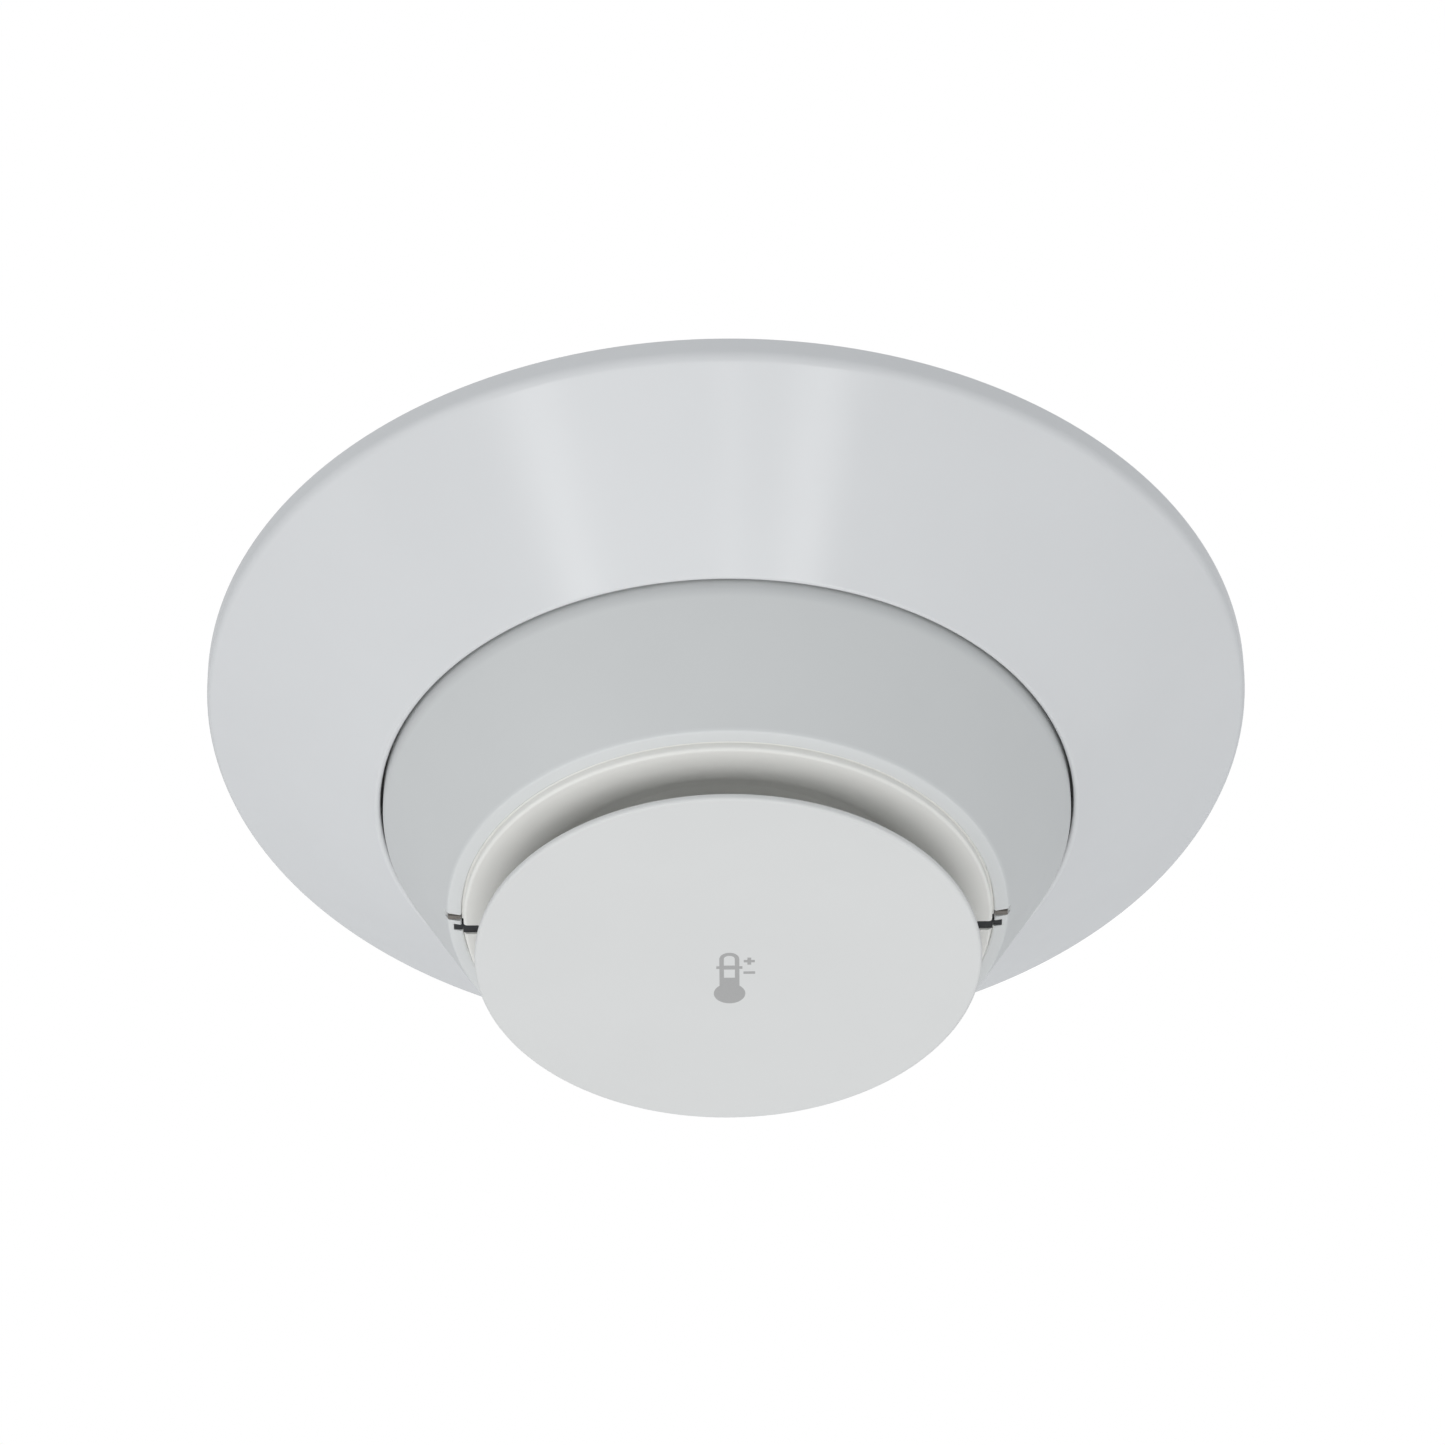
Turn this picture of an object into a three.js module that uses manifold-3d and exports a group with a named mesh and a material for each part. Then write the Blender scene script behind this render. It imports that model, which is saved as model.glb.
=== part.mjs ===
// Low-profile heat detector on a flanged ceiling base, in millimetres.
// +Z is up. The ceiling is the plane z = 0, and the detector hangs below it.
// The head is shown locked in its base. It turns about +Z, and negative angles release it.
import * as THREE from "three";
import { mergeVertices } from "three/addons/utils/BufferGeometryUtils.js";
import Module from "manifold-3d";

const wasm = await Module();
wasm.setup();

// ---- Driving dimensions -------------------------------------------------------------------
const CLEARANCE = 0.3; // gap between neighbouring pieces
const ROUND = 48; // sides of the large turned pieces
const SMALL_ROUND = 12; // sides of screws, pins and dials

const FLANGE_RADIUS = 77.5;
const RIM_DEPTH = 3.7; // upright rim against the ceiling
const COLLAR_RADIUS = 51.2; // opening that the head fills
const COLLAR_DEPTH = 23.4;
const BASE_WALL = 2.2;
const PLATE = 3; // plate that is screwed to the ceiling box
const RIB = 1.6;
const RIB_COUNT = 12;
const WIRING_RADIUS = 23;
const FIXING_SLOT = { from: 29, to: 43, width: 4.6 };

const HEAD_RADIUS = 50.8;
const HEAD_TOP = -18;
const CONE_TOP = -24.4;
const LIP = { radius: 40.9, depth: 42.3, inner: 38.9, innerDepth: 42.8, shelf: 40.5 };
const COVER_WALL = 1.6;
const CHAMBER = { radius: 38.6, rim: 3.4, depth: 43.7, throat: 27.5, floor: 38.1, wall: 1.8 };
const DISC = { radius: 36.9, thickness: 1.2, edge: 0.5 };
const OVERALL_DEPTH = 51.5;
const POST = { inner: 18, outer: 21, halfAngle: 5, count: 6 };

const REAR = { radius: 46.5, top: -11, floor: 1.8, rimEnd: -21, wall: 2, flange: 48 };
const BOARD = { radius: 43.8, top: -18, thickness: 1.6 };

const BAYONET_ANGLES = [30, 150, 270];
const LUG = { inner: 45.5, outer: 49.4, halfAngle: 8, top: -12, bottom: -14.4 };
const LEDGE = { inner: 47.4, halfAngle: 9, top: -14.8, bottom: -17.2, stopTop: -11.6 };
const LEDGE_STOP = { from: 8.6, to: 11 }; // degrees past the middle of the ledge

const TERMINAL_ANGLES = [45, 135, 225, 315];
const TERMINAL_RADIUS = 33; // circle of the contact blades
const SCREW_OFFSET = 9; // along the circle from the blade to its terminal screw
const CONTACT_WIDTH = 6;

// Indicator openings, as distances along X, Y and Z: a lamp notch beside a drain slot.
const NOTCH = { low: -0.7, high: 0.7, inner: 38.75, outer: 40.3, height: 41.4 };
const DRAIN = { low: 0.4, bridge: 1.3, high: 2.4, inner: 36.4, outer: 40.1 };
const DIAL_SPACING = 9; // half the distance between the two address dials
const DIAL = { radius: 3.4, window: 4, top: -11.4, bottom: -15.1 };
const BOARD_SCREW = { radius: 38, angles: [90, 210, 330] };
const THERMISTOR_X = 8;

const BOARD_BOTTOM = BOARD.top - BOARD.thickness;
const PART_FACE = BOARD_BOTTOM - CLEARANCE; // where the board's lower components begin
const REAR_INSIDE = REAR.top - REAR.floor;

// ---- Materials ----------------------------------------------------------------------------
const material = (color, roughness, metalness = 0) =>
  new THREE.MeshStandardMaterial({ color, roughness, metalness });
const basePlastic = material(0xd9dcdf, 0.35);
const coverPlastic = material(0xdcdddc, 0.5);
const guardPlastic = material(0xe6e6e4, 0.55);
const rearPlastic = material(0xcfd0ce, 0.6);
const steel = material(0xb9bcc0, 0.3, 1);
const tinnedBrass = material(0xcfc9b4, 0.3, 1);
const boardLaminate = material(0x2d6b3c, 0.5);
const epoxy = material(0x26282b, 0.4);
const smokedAcrylic = material(0x6f6a63, 0.15);
const ledResin = material(0xa02a22, 0.2);
const reedGlass = material(0x9fb4a8, 0.1);
const dialPlastic = material(0x3a6ea8, 0.45);

// ---- Shape helpers ------------------------------------------------------------------------
const radians = THREE.MathUtils.degToRad;

// A closed geometry as a solid that can be joined and cut; a solid is passed through.
function solid(shape) {
  if (!shape.isBufferGeometry) return shape;
  const positions = shape.clone();
  positions.deleteAttribute("normal");
  positions.deleteAttribute("uv");
  const merged = mergeVertices(positions, 1e-4);
  return new wasm.Manifold(
    new wasm.Mesh({
      numProp: 3,
      vertProperties: merged.attributes.position.array,
      triVerts: new Uint32Array(merged.index.array),
    }),
  );
}

const join = (...shapes) => shapes.flat().map(solid).reduce((whole, next) => whole.add(next));
const cut = (whole, ...cutters) =>
  cutters.flat().map(solid).reduce((rest, next) => rest.subtract(next), solid(whole));

function mesh(name, shape, look, [x, y, z] = [0, 0, 0]) {
  const { vertProperties, triVerts } = solid(shape).getMesh();
  const geometry = new THREE.BufferGeometry()
    .setAttribute("position", new THREE.BufferAttribute(vertProperties, 3))
    .setIndex(new THREE.BufferAttribute(triVerts, 1));
  const made = new THREE.Mesh(geometry, look);
  made.name = name;
  made.position.set(x, y, z);
  return made;
}

// Corners are [radius, z] or [radius, z, fillet]; a fillet becomes an arc of a few steps.
function rounded(corners, steps = 3) {
  return corners.flatMap(([x, y, fillet], i) => {
    const here = new THREE.Vector2(x, y);
    if (!fillet) return [here];
    const [px, py] = corners.at(i - 1);
    const [nx, ny] = corners[(i + 1) % corners.length];
    const back = new THREE.Vector2(px, py).sub(here).normalize();
    const ahead = new THREE.Vector2(nx, ny).sub(here).normalize();
    const half = back.angleTo(ahead) / 2;
    const centre = here
      .clone()
      .add(back.clone().add(ahead).normalize().multiplyScalar(fillet / Math.sin(half)));
    const start = here.clone().addScaledVector(back, fillet / Math.tan(half)).sub(centre);
    const end = here.clone().addScaledVector(ahead, fillet / Math.tan(half)).sub(centre);
    const sweep = Math.atan2(start.cross(end), start.dot(end));
    return Array.from({ length: steps + 1 }, (_, k) =>
      start.clone().rotateAround(new THREE.Vector2(), (sweep * k) / steps).add(centre),
    );
  });
}

// A solid of revolution about Z. A profile that leaves the axis must come back to it.
function turned(corners, { sides = ROUND, closed = false, steps = 3 } = {}) {
  const profile = rounded(corners, steps);
  if (closed) profile.push(profile[0].clone());
  return new THREE.LatheGeometry(profile, sides).rotateX(Math.PI / 2);
}

const rod = (radius, top, bottom, { x = 0, y = 0, sides = SMALL_ROUND } = {}) =>
  new THREE.CylinderGeometry(radius, radius, top - bottom, sides)
    .rotateX(Math.PI / 2)
    .translate(x, y, (top + bottom) / 2);

const block = ([x0, x1], [y0, y1], [z0, z1]) =>
  new THREE.BoxGeometry(x1 - x0, y1 - y0, z1 - z0).translate(
    (x0 + x1) / 2,
    (y0 + y1) / 2,
    (z0 + z1) / 2,
  );

// Part of a ring, between two radii, two angles in degrees and two heights.
function sector([inner, outer], [from, to], [bottom, top]) {
  const shape = new THREE.Shape()
    .absarc(0, 0, outer, radians(from), radians(to), false)
    .absarc(0, 0, inner, radians(to), radians(from), true);
  const options = { depth: top - bottom, bevelEnabled: false, curveSegments: 4 };
  return new THREE.ExtrudeGeometry(shape, options).translate(0, 0, bottom);
}

// Sheet metal: a strip of even thickness along a path of [tangent, z] points, width along the radius.
function strip(path, thickness, [inner, outer]) {
  const points = path.map(([x, y]) => new THREE.Vector2(x, y));
  const normals = points.map((point, i) => {
    const before = point.clone().sub(points[Math.max(i - 1, 0)]).normalize();
    const after = points[Math.min(i + 1, points.length - 1)].clone().sub(point).normalize();
    const along = before.add(after).normalize();
    const edge = i > 0 ? point.clone().sub(points[i - 1]) : points[1].clone().sub(point);
    const normal = new THREE.Vector2(-along.y, along.x);
    const square = new THREE.Vector2(-edge.y, edge.x).normalize();
    return normal.multiplyScalar(thickness / 2 / normal.dot(square));
  });
  const side = (sign) => points.map((point, i) => point.clone().addScaledVector(normals[i], sign));
  const shape = new THREE.Shape([...side(1), ...side(-1).reverse()]);
  return new THREE.ExtrudeGeometry(shape, { depth: outer - inner, bevelEnabled: false })
    .rotateX(Math.PI / 2)
    .rotateZ(Math.PI / 2)
    .translate(inner, 0, 0);
}

// Copies of each geometry, turned about Z to each angle.
const around = (angles, ...shapes) =>
  angles.flatMap((angle) => shapes.map((shape) => shape.clone().rotateZ(radians(angle))));
const evenly = (count) => Array.from({ length: count }, (_, i) => (i * 360) / count);

// ---- Base ---------------------------------------------------------------------------------
const coneSlope = (COLLAR_DEPTH - RIM_DEPTH) / (FLANGE_RADIUS - COLLAR_RADIUS);
const coneRise = BASE_WALL * Math.hypot(1, coneSlope); // wall measured straight up
const flangeSurface = (radius) => -COLLAR_DEPTH + coneSlope * (radius - COLLAR_RADIUS);

function baseShell() {
  const collarBack = COLLAR_RADIUS + BASE_WALL;
  const rimBack = FLANGE_RADIUS - BASE_WALL;
  return turned([
    [0, -PLATE],
    [COLLAR_RADIUS, -PLATE],
    [COLLAR_RADIUS, -COLLAR_DEPTH, 0.6],
    [FLANGE_RADIUS, -RIM_DEPTH, 3.8],
    [FLANGE_RADIUS, 0, 0.4],
    [rimBack, 0],
    [rimBack, flangeSurface(rimBack) + coneRise],
    [collarBack, flangeSurface(collarBack) + coneRise],
    [collarBack, 0],
    [0, 0],
  ]);
}

// Stiffening rib behind the flange, sunk halfway into both walls that it joins.
function flangeRib() {
  const inner = COLLAR_RADIUS + BASE_WALL / 2;
  const outer = FLANGE_RADIUS - BASE_WALL / 2;
  const recess = 0.8;
  const outline = new THREE.Shape([
    new THREE.Vector2(inner, -recess),
    new THREE.Vector2(inner, flangeSurface(inner) + coneRise / 2),
    new THREE.Vector2(outer, flangeSurface(outer) + coneRise / 2),
    new THREE.Vector2(outer, -recess),
  ]);
  return new THREE.ExtrudeGeometry(outline, { depth: RIB, bevelEnabled: false })
    .rotateX(Math.PI / 2)
    .translate(0, RIB / 2, 0);
}

function fixingSlot() {
  const { from, to, width } = FIXING_SLOT;
  const half = width / 2;
  const [start, end] = [from + half, to - half];
  const [bottom, top] = [-PLATE - 1, 1];
  return [
    block([start, end], [-half, half], [bottom, top]),
    rod(half, top, bottom, { x: start }),
    rod(half, top, bottom, { x: end }),
  ];
}

const TERMINAL_BOSS_FACE = -4.7;
const TERMINAL_HOLE = 1.75;
const terminalBoss = () =>
  block(
    [TERMINAL_RADIUS - 4.5, TERMINAL_RADIUS + 4.5],
    [SCREW_OFFSET - 4.5, SCREW_OFFSET + 4.5],
    [TERMINAL_BOSS_FACE, -PLATE + 0.5],
  );
const terminalScrewHole = () =>
  rod(TERMINAL_HOLE, -1, -PLATE - 3, { x: TERMINAL_RADIUS, y: SCREW_OFFSET });

function bayonetLedge() {
  const { inner, halfAngle, top, bottom, stopTop } = LEDGE;
  const radii = [inner, COLLAR_RADIUS + BASE_WALL / 2];
  return [
    sector(radii, [-halfAngle, LEDGE_STOP.to], [bottom, top]),
    sector(radii, [LEDGE_STOP.from, LEDGE_STOP.to], [bottom, stopTop]),
  ];
}

function baseBody() {
  const whole = join(
    baseShell(),
    around(evenly(RIB_COUNT), flangeRib()),
    around(TERMINAL_ANGLES, terminalBoss()),
    around(BAYONET_ANGLES, ...bayonetLedge()),
  );
  return cut(
    whole,
    rod(WIRING_RADIUS, 1, -PLATE - 1, { sides: ROUND }),
    around([0, 180], ...fixingSlot()),
    around(TERMINAL_ANGLES, terminalScrewHole()),
  );
}

// ---- Terminals, in the frame of one terminal: X along the radius, Y along the circle ------
const SPRING = { thickness: 0.5, seat: -5.25, crest: -6.75 };

function contactSpring() {
  const { thickness, seat, crest } = SPRING;
  const path = [
    [SCREW_OFFSET + 4, seat],
    [5, seat],
    [1.2, crest + 0.15],
    [0, crest],
    [-1.2, crest + 0.15],
    [-3.4, crest + 0.9],
  ];
  const half = CONTACT_WIDTH / 2;
  const hole = rod(TERMINAL_HOLE, seat + 1, seat - 1, { x: TERMINAL_RADIUS, y: SCREW_OFFSET });
  return cut(strip(path, thickness, [TERMINAL_RADIUS - half, TERMINAL_RADIUS + half]), hole);
}

const CLAMP = { top: -5.8, bottom: -6.8, half: 3.9, lip: 0.6 };
function terminalClamp() {
  const { top, bottom, half, lip } = CLAMP;
  const plate = block([-half, half], [-half, half], [bottom, top]);
  const edge = block([-half, -half + lip], [-half, half], [top, top + 0.5]);
  return cut(join(plate, edge), rod(TERMINAL_HOLE, top + 1, bottom - 1));
}

// A pan-head screw whose head hangs below z = 0 and whose shank rises above it.
function panScrew({ shank, length, head, height, slot }) {
  const body = turned(
    [
      [0, length],
      [shank - 0.3, length],
      [shank, length - 0.5],
      [shank, 0],
      [head, 0],
      [head, -height, height * 0.45],
      [0, -height],
    ].reverse(),
    { sides: SMALL_ROUND, steps: 2 },
  );
  const groove = block([-head - 1, head + 1], [-slot / 2, slot / 2], [-height - 1, -height * 0.5]);
  return cut(body, groove);
}

const TERMINAL_SCREW = { shank: 1.4, length: 5.6, head: 2.8, height: 2, slot: 0.7 };

// ---- Head: mouldings ----------------------------------------------------------------------
const BLADE = { level: -7.7, thickness: 0.8, half: 4, width: 5 };

function contactBlade() {
  const { level, thickness, half, width } = BLADE;
  const path = [
    [-half, level],
    [half, level],
    [half, BOARD.top + CLEARANCE],
  ];
  return strip(path, thickness, [TERMINAL_RADIUS - width / 2, TERMINAL_RADIUS + width / 2]);
}

function bladePedestal() {
  const { level, thickness, half, width } = BLADE;
  const face = level - thickness / 2 - CLEARANCE;
  return block(
    [TERMINAL_RADIUS - width / 2, TERMINAL_RADIUS + width / 2],
    [-half + 0.4, half - thickness],
    [REAR.top - 0.5, face],
  );
}

function bladeSlot() {
  const reach = BLADE.width / 2 + CLEARANCE;
  const gap = BLADE.thickness / 2 + CLEARANCE;
  return block(
    [TERMINAL_RADIUS - reach, TERMINAL_RADIUS + reach],
    [BLADE.half - gap, BLADE.half + gap],
    [REAR_INSIDE - 1, REAR.top + 1],
  );
}

const dialCentres = [-DIAL_SPACING, DIAL_SPACING];

function rearHousing() {
  const { radius, top, rimEnd, wall, flange } = REAR;
  const tray = turned([
    [0, REAR_INSIDE],
    [radius - wall, REAR_INSIDE],
    [radius - wall, rimEnd],
    [flange, rimEnd],
    [flange, rimEnd + 2],
    [radius, rimEnd + 2],
    [radius, top, 0.8],
    [0, top],
  ]);
  const lug = sector(
    [LUG.inner, LUG.outer],
    [-LUG.halfAngle, LUG.halfAngle],
    [LUG.bottom, LUG.top],
  );
  const boss = rod(3, REAR_INSIDE + 0.5, BOARD.top + CLEARANCE, { x: BOARD_SCREW.radius });
  const bossHole = rod(1.5, REAR_INSIDE - 0.6, BOARD.top - 1, { x: BOARD_SCREW.radius });
  const windows = dialCentres.map((x) => rod(DIAL.window, REAR.top + 1, REAR_INSIDE - 1, { x }));
  return cut(
    join(
      tray,
      around(BAYONET_ANGLES, lug),
      around(TERMINAL_ANGLES, bladePedestal()),
      around(BOARD_SCREW.angles, boss),
    ),
    around(TERMINAL_ANGLES, bladeSlot()),
    around(BOARD_SCREW.angles, bossHole),
    windows,
  );
}

const bothSides = ([from, to], y, z) => [block([from, to], y, z), block([-to, -from], y, z)];
const slotBottom = -CHAMBER.depth - 1;
const slotTop = -LIP.shelf + 3;

// Notch for the light pipe, open through the lip's edge.
function lampNotch() {
  const y = [NOTCH.low, NOTCH.high];
  return [
    ...bothSides([NOTCH.inner, NOTCH.outer], y, [slotBottom, slotTop]),
    ...bothSides([NOTCH.inner, LIP.radius + 1], y, [slotBottom, -NOTCH.height]),
  ];
}

// Slot across the inner ring that ends inside the lip, behind a small bridge.
function drainSlot() {
  const z = [slotBottom, slotTop];
  return [
    ...bothSides([DRAIN.inner, NOTCH.inner], [DRAIN.low, DRAIN.high], z),
    ...bothSides([NOTCH.inner, DRAIN.outer], [DRAIN.bridge, DRAIN.high], z),
  ];
}

const coverSlope = (HEAD_RADIUS - LIP.radius) / (LIP.depth + CONE_TOP);
const coverAcross = COVER_WALL * Math.hypot(1, coverSlope); // wall measured level
const coverSurface = (z) => HEAD_RADIUS - coverSlope * (CONE_TOP - z);

function frontCover() {
  const seat = REAR.rimEnd - CLEARANCE;
  const snug = REAR.flange + CLEARANCE;
  const shell = turned(
    [
      [LIP.inner, -LIP.shelf],
      [LIP.inner, -LIP.innerDepth, 0.3],
      [LIP.radius, -LIP.depth, 0.5],
      [HEAD_RADIUS, CONE_TOP, 3],
      [HEAD_RADIUS, HEAD_TOP],
      [snug, HEAD_TOP],
      [snug, seat],
      [coverSurface(CONE_TOP) - coverAcross - 2, seat],
      [coverSurface(CONE_TOP) - coverAcross - 2, seat - 2],
      [coverSurface(-LIP.shelf) - coverAcross, -LIP.shelf],
    ],
    { closed: true },
  );
  const hook = sector([snug - 1, snug + 0.5], [-5, 5], [HEAD_TOP - 0.6, HEAD_TOP]);
  return cut(join(shell, around(evenly(4), hook)), lampNotch(), drainSlot());
}

// Inner ring and bell-mouthed sensing chamber that lets room air reach the thermistors.
function sensingChamber() {
  const { radius, rim, depth, throat, floor, wall } = CHAMBER;
  const rimInner = radius - rim;
  const mouth = (offset, from, to, steps) =>
    Array.from({ length: steps + 1 }, (_, i) => {
      const angle = from + ((to - from) * i) / steps;
      const reach = rimInner - throat + offset;
      const rise = depth - floor + 1;
      return [rimInner - reach * Math.sin(angle), -depth + offset + rise * (1 - Math.cos(angle))];
    });
  const flangeTop = -LIP.shelf + CLEARANCE;
  const ring = turned(
    [
      [0, -floor],
      [throat - 3, -floor],
      ...mouth(0, 1.25, 0, 5),
      [radius, -depth, 0.5],
      [radius, flangeTop],
      [radius + 1.1, flangeTop],
      [radius + 1.1, flangeTop + 1.4],
      [rimInner + 0.6, flangeTop + 1.4],
      ...mouth(wall, 0.15, 1.2, 3),
      [throat - 3, -floor + wall],
      [0, -floor + wall],
    ],
    { steps: 2 },
  );
  const leadHoles = [-THERMISTOR_X, THERMISTOR_X].map((x) =>
    rod(1.6, -floor + wall + 1, -floor - 1, { x }),
  );
  const pipeGap = bothSides(
    [radius - 0.1, NOTCH.outer],
    [NOTCH.low, DRAIN.high],
    [-LIP.shelf, slotTop],
  );
  return cut(ring, leadHoles, drainSlot(), pipeGap);
}

function guardDisc() {
  const { radius, thickness, edge } = DISC;
  const plate = turned(
    [
      [0, -OVERALL_DEPTH],
      [radius, -OVERALL_DEPTH, edge],
      [radius, -OVERALL_DEPTH + thickness, edge],
      [0, -OVERALL_DEPTH + thickness],
    ],
    { steps: 2 },
  );
  const post = sector(
    [POST.inner, POST.outer],
    [-POST.halfAngle, POST.halfAngle],
    [-OVERALL_DEPTH + thickness - 0.5, -CHAMBER.floor - CLEARANCE],
  );
  return join(plate, around(evenly(POST.count), post));
}

// ---- Head: electronics --------------------------------------------------------------------
function circuitBoard() {
  const board = rod(BOARD.radius, BOARD.top, BOARD_BOTTOM, { sides: ROUND });
  const hole = rod(1.6, BOARD.top + 1, BOARD_BOTTOM - 1, { x: BOARD_SCREW.radius });
  return cut(board, around(BOARD_SCREW.angles, hole));
}

const BOARD_SCREW_SIZE = { shank: 1.2, length: 6, head: 2.6, height: 1.7, slot: 0.6 };

// Epoxy bead on two coated leads that reach down through the chamber's floor.
function thermistor() {
  const bead = turned(
    [
      [0, -47],
      [1.2, -47, 1],
      [1.2, -43.6, 1],
      [0, -43.6],
    ],
    { sides: 10, steps: 2 },
  );
  const leads = [-0.6, 0.6].map((y) => rod(0.3, PART_FACE, -45, { y, sides: 8 }));
  return join(bead, leads);
}

const INDICATOR = {
  x: (NOTCH.inner + NOTCH.outer) / 2,
  y: (NOTCH.low + NOTCH.high) / 2,
};
const LED_END = PART_FACE - 4.6;

const indicatorLed = () =>
  turned(
    [
      [0, LED_END],
      [1.5, LED_END, 1.2],
      [1.5, PART_FACE - 1],
      [1.9, PART_FACE - 1],
      [1.9, PART_FACE],
      [0, PART_FACE],
    ],
    { sides: SMALL_ROUND, steps: 2 },
  );

// A clear rod that ends in a thin blade, with a toe that fills the notch out to the lip's edge.
function lightPipe(side) {
  const half = (NOTCH.high - NOTCH.low) / 2 - CLEARANCE;
  const reach = (NOTCH.outer - NOTCH.inner) / 2 - CLEARANCE;
  const toeTop = -NOTCH.height - CLEARANCE;
  const toe = [-reach, LIP.radius - INDICATOR.x].map((x) => side * x).sort((a, b) => a - b);
  return join(
    block([-reach, reach], [-half, half], [-LIP.depth - 0.2, slotTop + 0.5]),
    block(toe, [-half, half], [-LIP.depth - 0.2, toeTop]),
    rod(1, LED_END - CLEARANCE, slotTop),
  );
}

// Glass reed switch, closed by a test magnet held against the cover.
function reedSwitch() {
  const level = PART_FACE - 2.4;
  const glass = turned(
    [
      [0, -6],
      [1.1, -6, 0.8],
      [1.1, 6, 0.8],
      [0, 6],
    ],
    { sides: 10, steps: 2 },
  )
    .rotateY(Math.PI / 2)
    .translate(0, 0, level);
  const wire = block([-9.5, 9.5], [-0.25, 0.25], [level - 0.25, level + 0.25]);
  const leg = (x) => block([x - 0.25, x + 0.25], [-0.25, 0.25], [level - 0.25, PART_FACE]);
  return join(glass, wire, leg(-9.25), leg(9.25));
}

function controllerChip() {
  const half = 3.6;
  const chip = block([-half, half], [-half, half], [PART_FACE - 1.2, PART_FACE - 0.2]);
  const pin = (offset) =>
    block([half - 0.2, half + 1], [offset - 0.2, offset + 0.2], [PART_FACE - 0.5, PART_FACE]);
  return join(chip, around(evenly(4), ...[-2.4, 0, 2.4].map(pin)));
}

const filterCapacitor = () =>
  turned(
    [
      [0, PART_FACE - 6.5],
      [3.1, PART_FACE - 6.5, 0.5],
      [3.1, PART_FACE],
      [0, PART_FACE],
    ],
    { sides: 16, steps: 2 },
  );

const surgeSuppressor = () => block([-2.3, 2.3], [-1.8, 1.8], [PART_FACE - 2.3, PART_FACE]);

// Square body of a rotary switch, with a round well for its dial.
function switchBody() {
  const top = REAR_INSIDE - CLEARANCE;
  const bottom = BOARD.top + CLEARANCE;
  const well = DIAL.radius + CLEARANCE;
  return cut(block([-5, 5], [-5, 5], [bottom, top]), rod(well, top + 1, DIAL.bottom - CLEARANCE));
}

// Rotor with a screwdriver slot and an arrow tip that points at the digit chosen.
function addressDial() {
  const { radius, top, bottom } = DIAL;
  const slot = block([-radius + 0.8, radius - 0.8], [-0.5, 0.5], [top - 0.9, top + 1]);
  const tip = block([-0.4, 0.4], [radius - 1.7, radius - 0.3], [top - 0.5, top + 1]);
  return cut(rod(radius, top, bottom, { sides: 24 }), slot, tip);
}

// ---- Assembly -----------------------------------------------------------------------------
const detector = new THREE.Group();
const base = new THREE.Group();
const head = new THREE.Group();
detector.add(base, head);

base.add(mesh("base_body", baseBody(), basePlastic));
TERMINAL_ANGLES.forEach((angle, i) => {
  const terminal = new THREE.Group();
  terminal.rotation.z = radians(angle);
  const screwPlace = [TERMINAL_RADIUS, SCREW_OFFSET, CLAMP.bottom - CLEARANCE];
  terminal.add(
    mesh(`contact_spring_${i + 1}`, contactSpring(), tinnedBrass),
    mesh(`terminal_clamp_${i + 1}`, terminalClamp(), tinnedBrass, [TERMINAL_RADIUS, SCREW_OFFSET, 0]),
    mesh(`terminal_screw_${i + 1}`, panScrew(TERMINAL_SCREW), steel, screwPlace),
  );
  base.add(terminal);
  const blade = mesh(`contact_blade_${i + 1}`, contactBlade(), tinnedBrass);
  blade.rotation.z = radians(angle);
  head.add(blade);
});

head.add(
  mesh("rear_housing", rearHousing(), rearPlastic),
  mesh("front_cover", frontCover(), coverPlastic),
  mesh("sensing_chamber", sensingChamber(), guardPlastic),
  mesh("guard_disc", guardDisc(), guardPlastic),
  mesh("circuit_board", circuitBoard(), boardLaminate),
  mesh("reed_switch", reedSwitch(), reedGlass, [0, -33, 0]),
  mesh("controller_chip", controllerChip(), epoxy, [0, 16, 0]),
  mesh("filter_capacitor", filterCapacitor(), steel, [-17, -14, 0]),
  mesh("surge_suppressor", surgeSuppressor(), epoxy, [16, -14, 0]),
);

BOARD_SCREW.angles.forEach((angle, i) => {
  const place = new THREE.Group();
  place.rotation.z = radians(angle);
  place.add(
    mesh(`board_screw_${i + 1}`, panScrew(BOARD_SCREW_SIZE), steel, [BOARD_SCREW.radius, 0, PART_FACE]),
  );
  head.add(place);
});

["left", "right"].forEach((side, i) => {
  const sign = 2 * i - 1;
  const indicator = [sign * INDICATOR.x, INDICATOR.y, 0];
  head.add(
    mesh(`indicator_led_${side}`, indicatorLed(), ledResin, indicator),
    mesh(`light_pipe_${side}`, lightPipe(sign), smokedAcrylic, indicator),
    mesh(`thermistor_${side}`, thermistor(), epoxy, [sign * THERMISTOR_X, 0, 0]),
  );
});

["tens", "ones"].forEach((digit, i) => {
  const address = new THREE.Group();
  address.position.x = dialCentres[i];
  address.add(
    mesh(`address_switch_${digit}`, switchBody(), epoxy),
    mesh(`address_dial_${digit}`, addressDial(), dialPlastic),
  );
  head.add(address);
});

export default detector;
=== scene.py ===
# Looks for the ceiling heat detector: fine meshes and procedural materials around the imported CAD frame.
# Lengths in the shape tables are millimetres; MM turns them into the frame's metres.
import math

import bmesh
import bpy
from mathutils import Matrix, Vector


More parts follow.
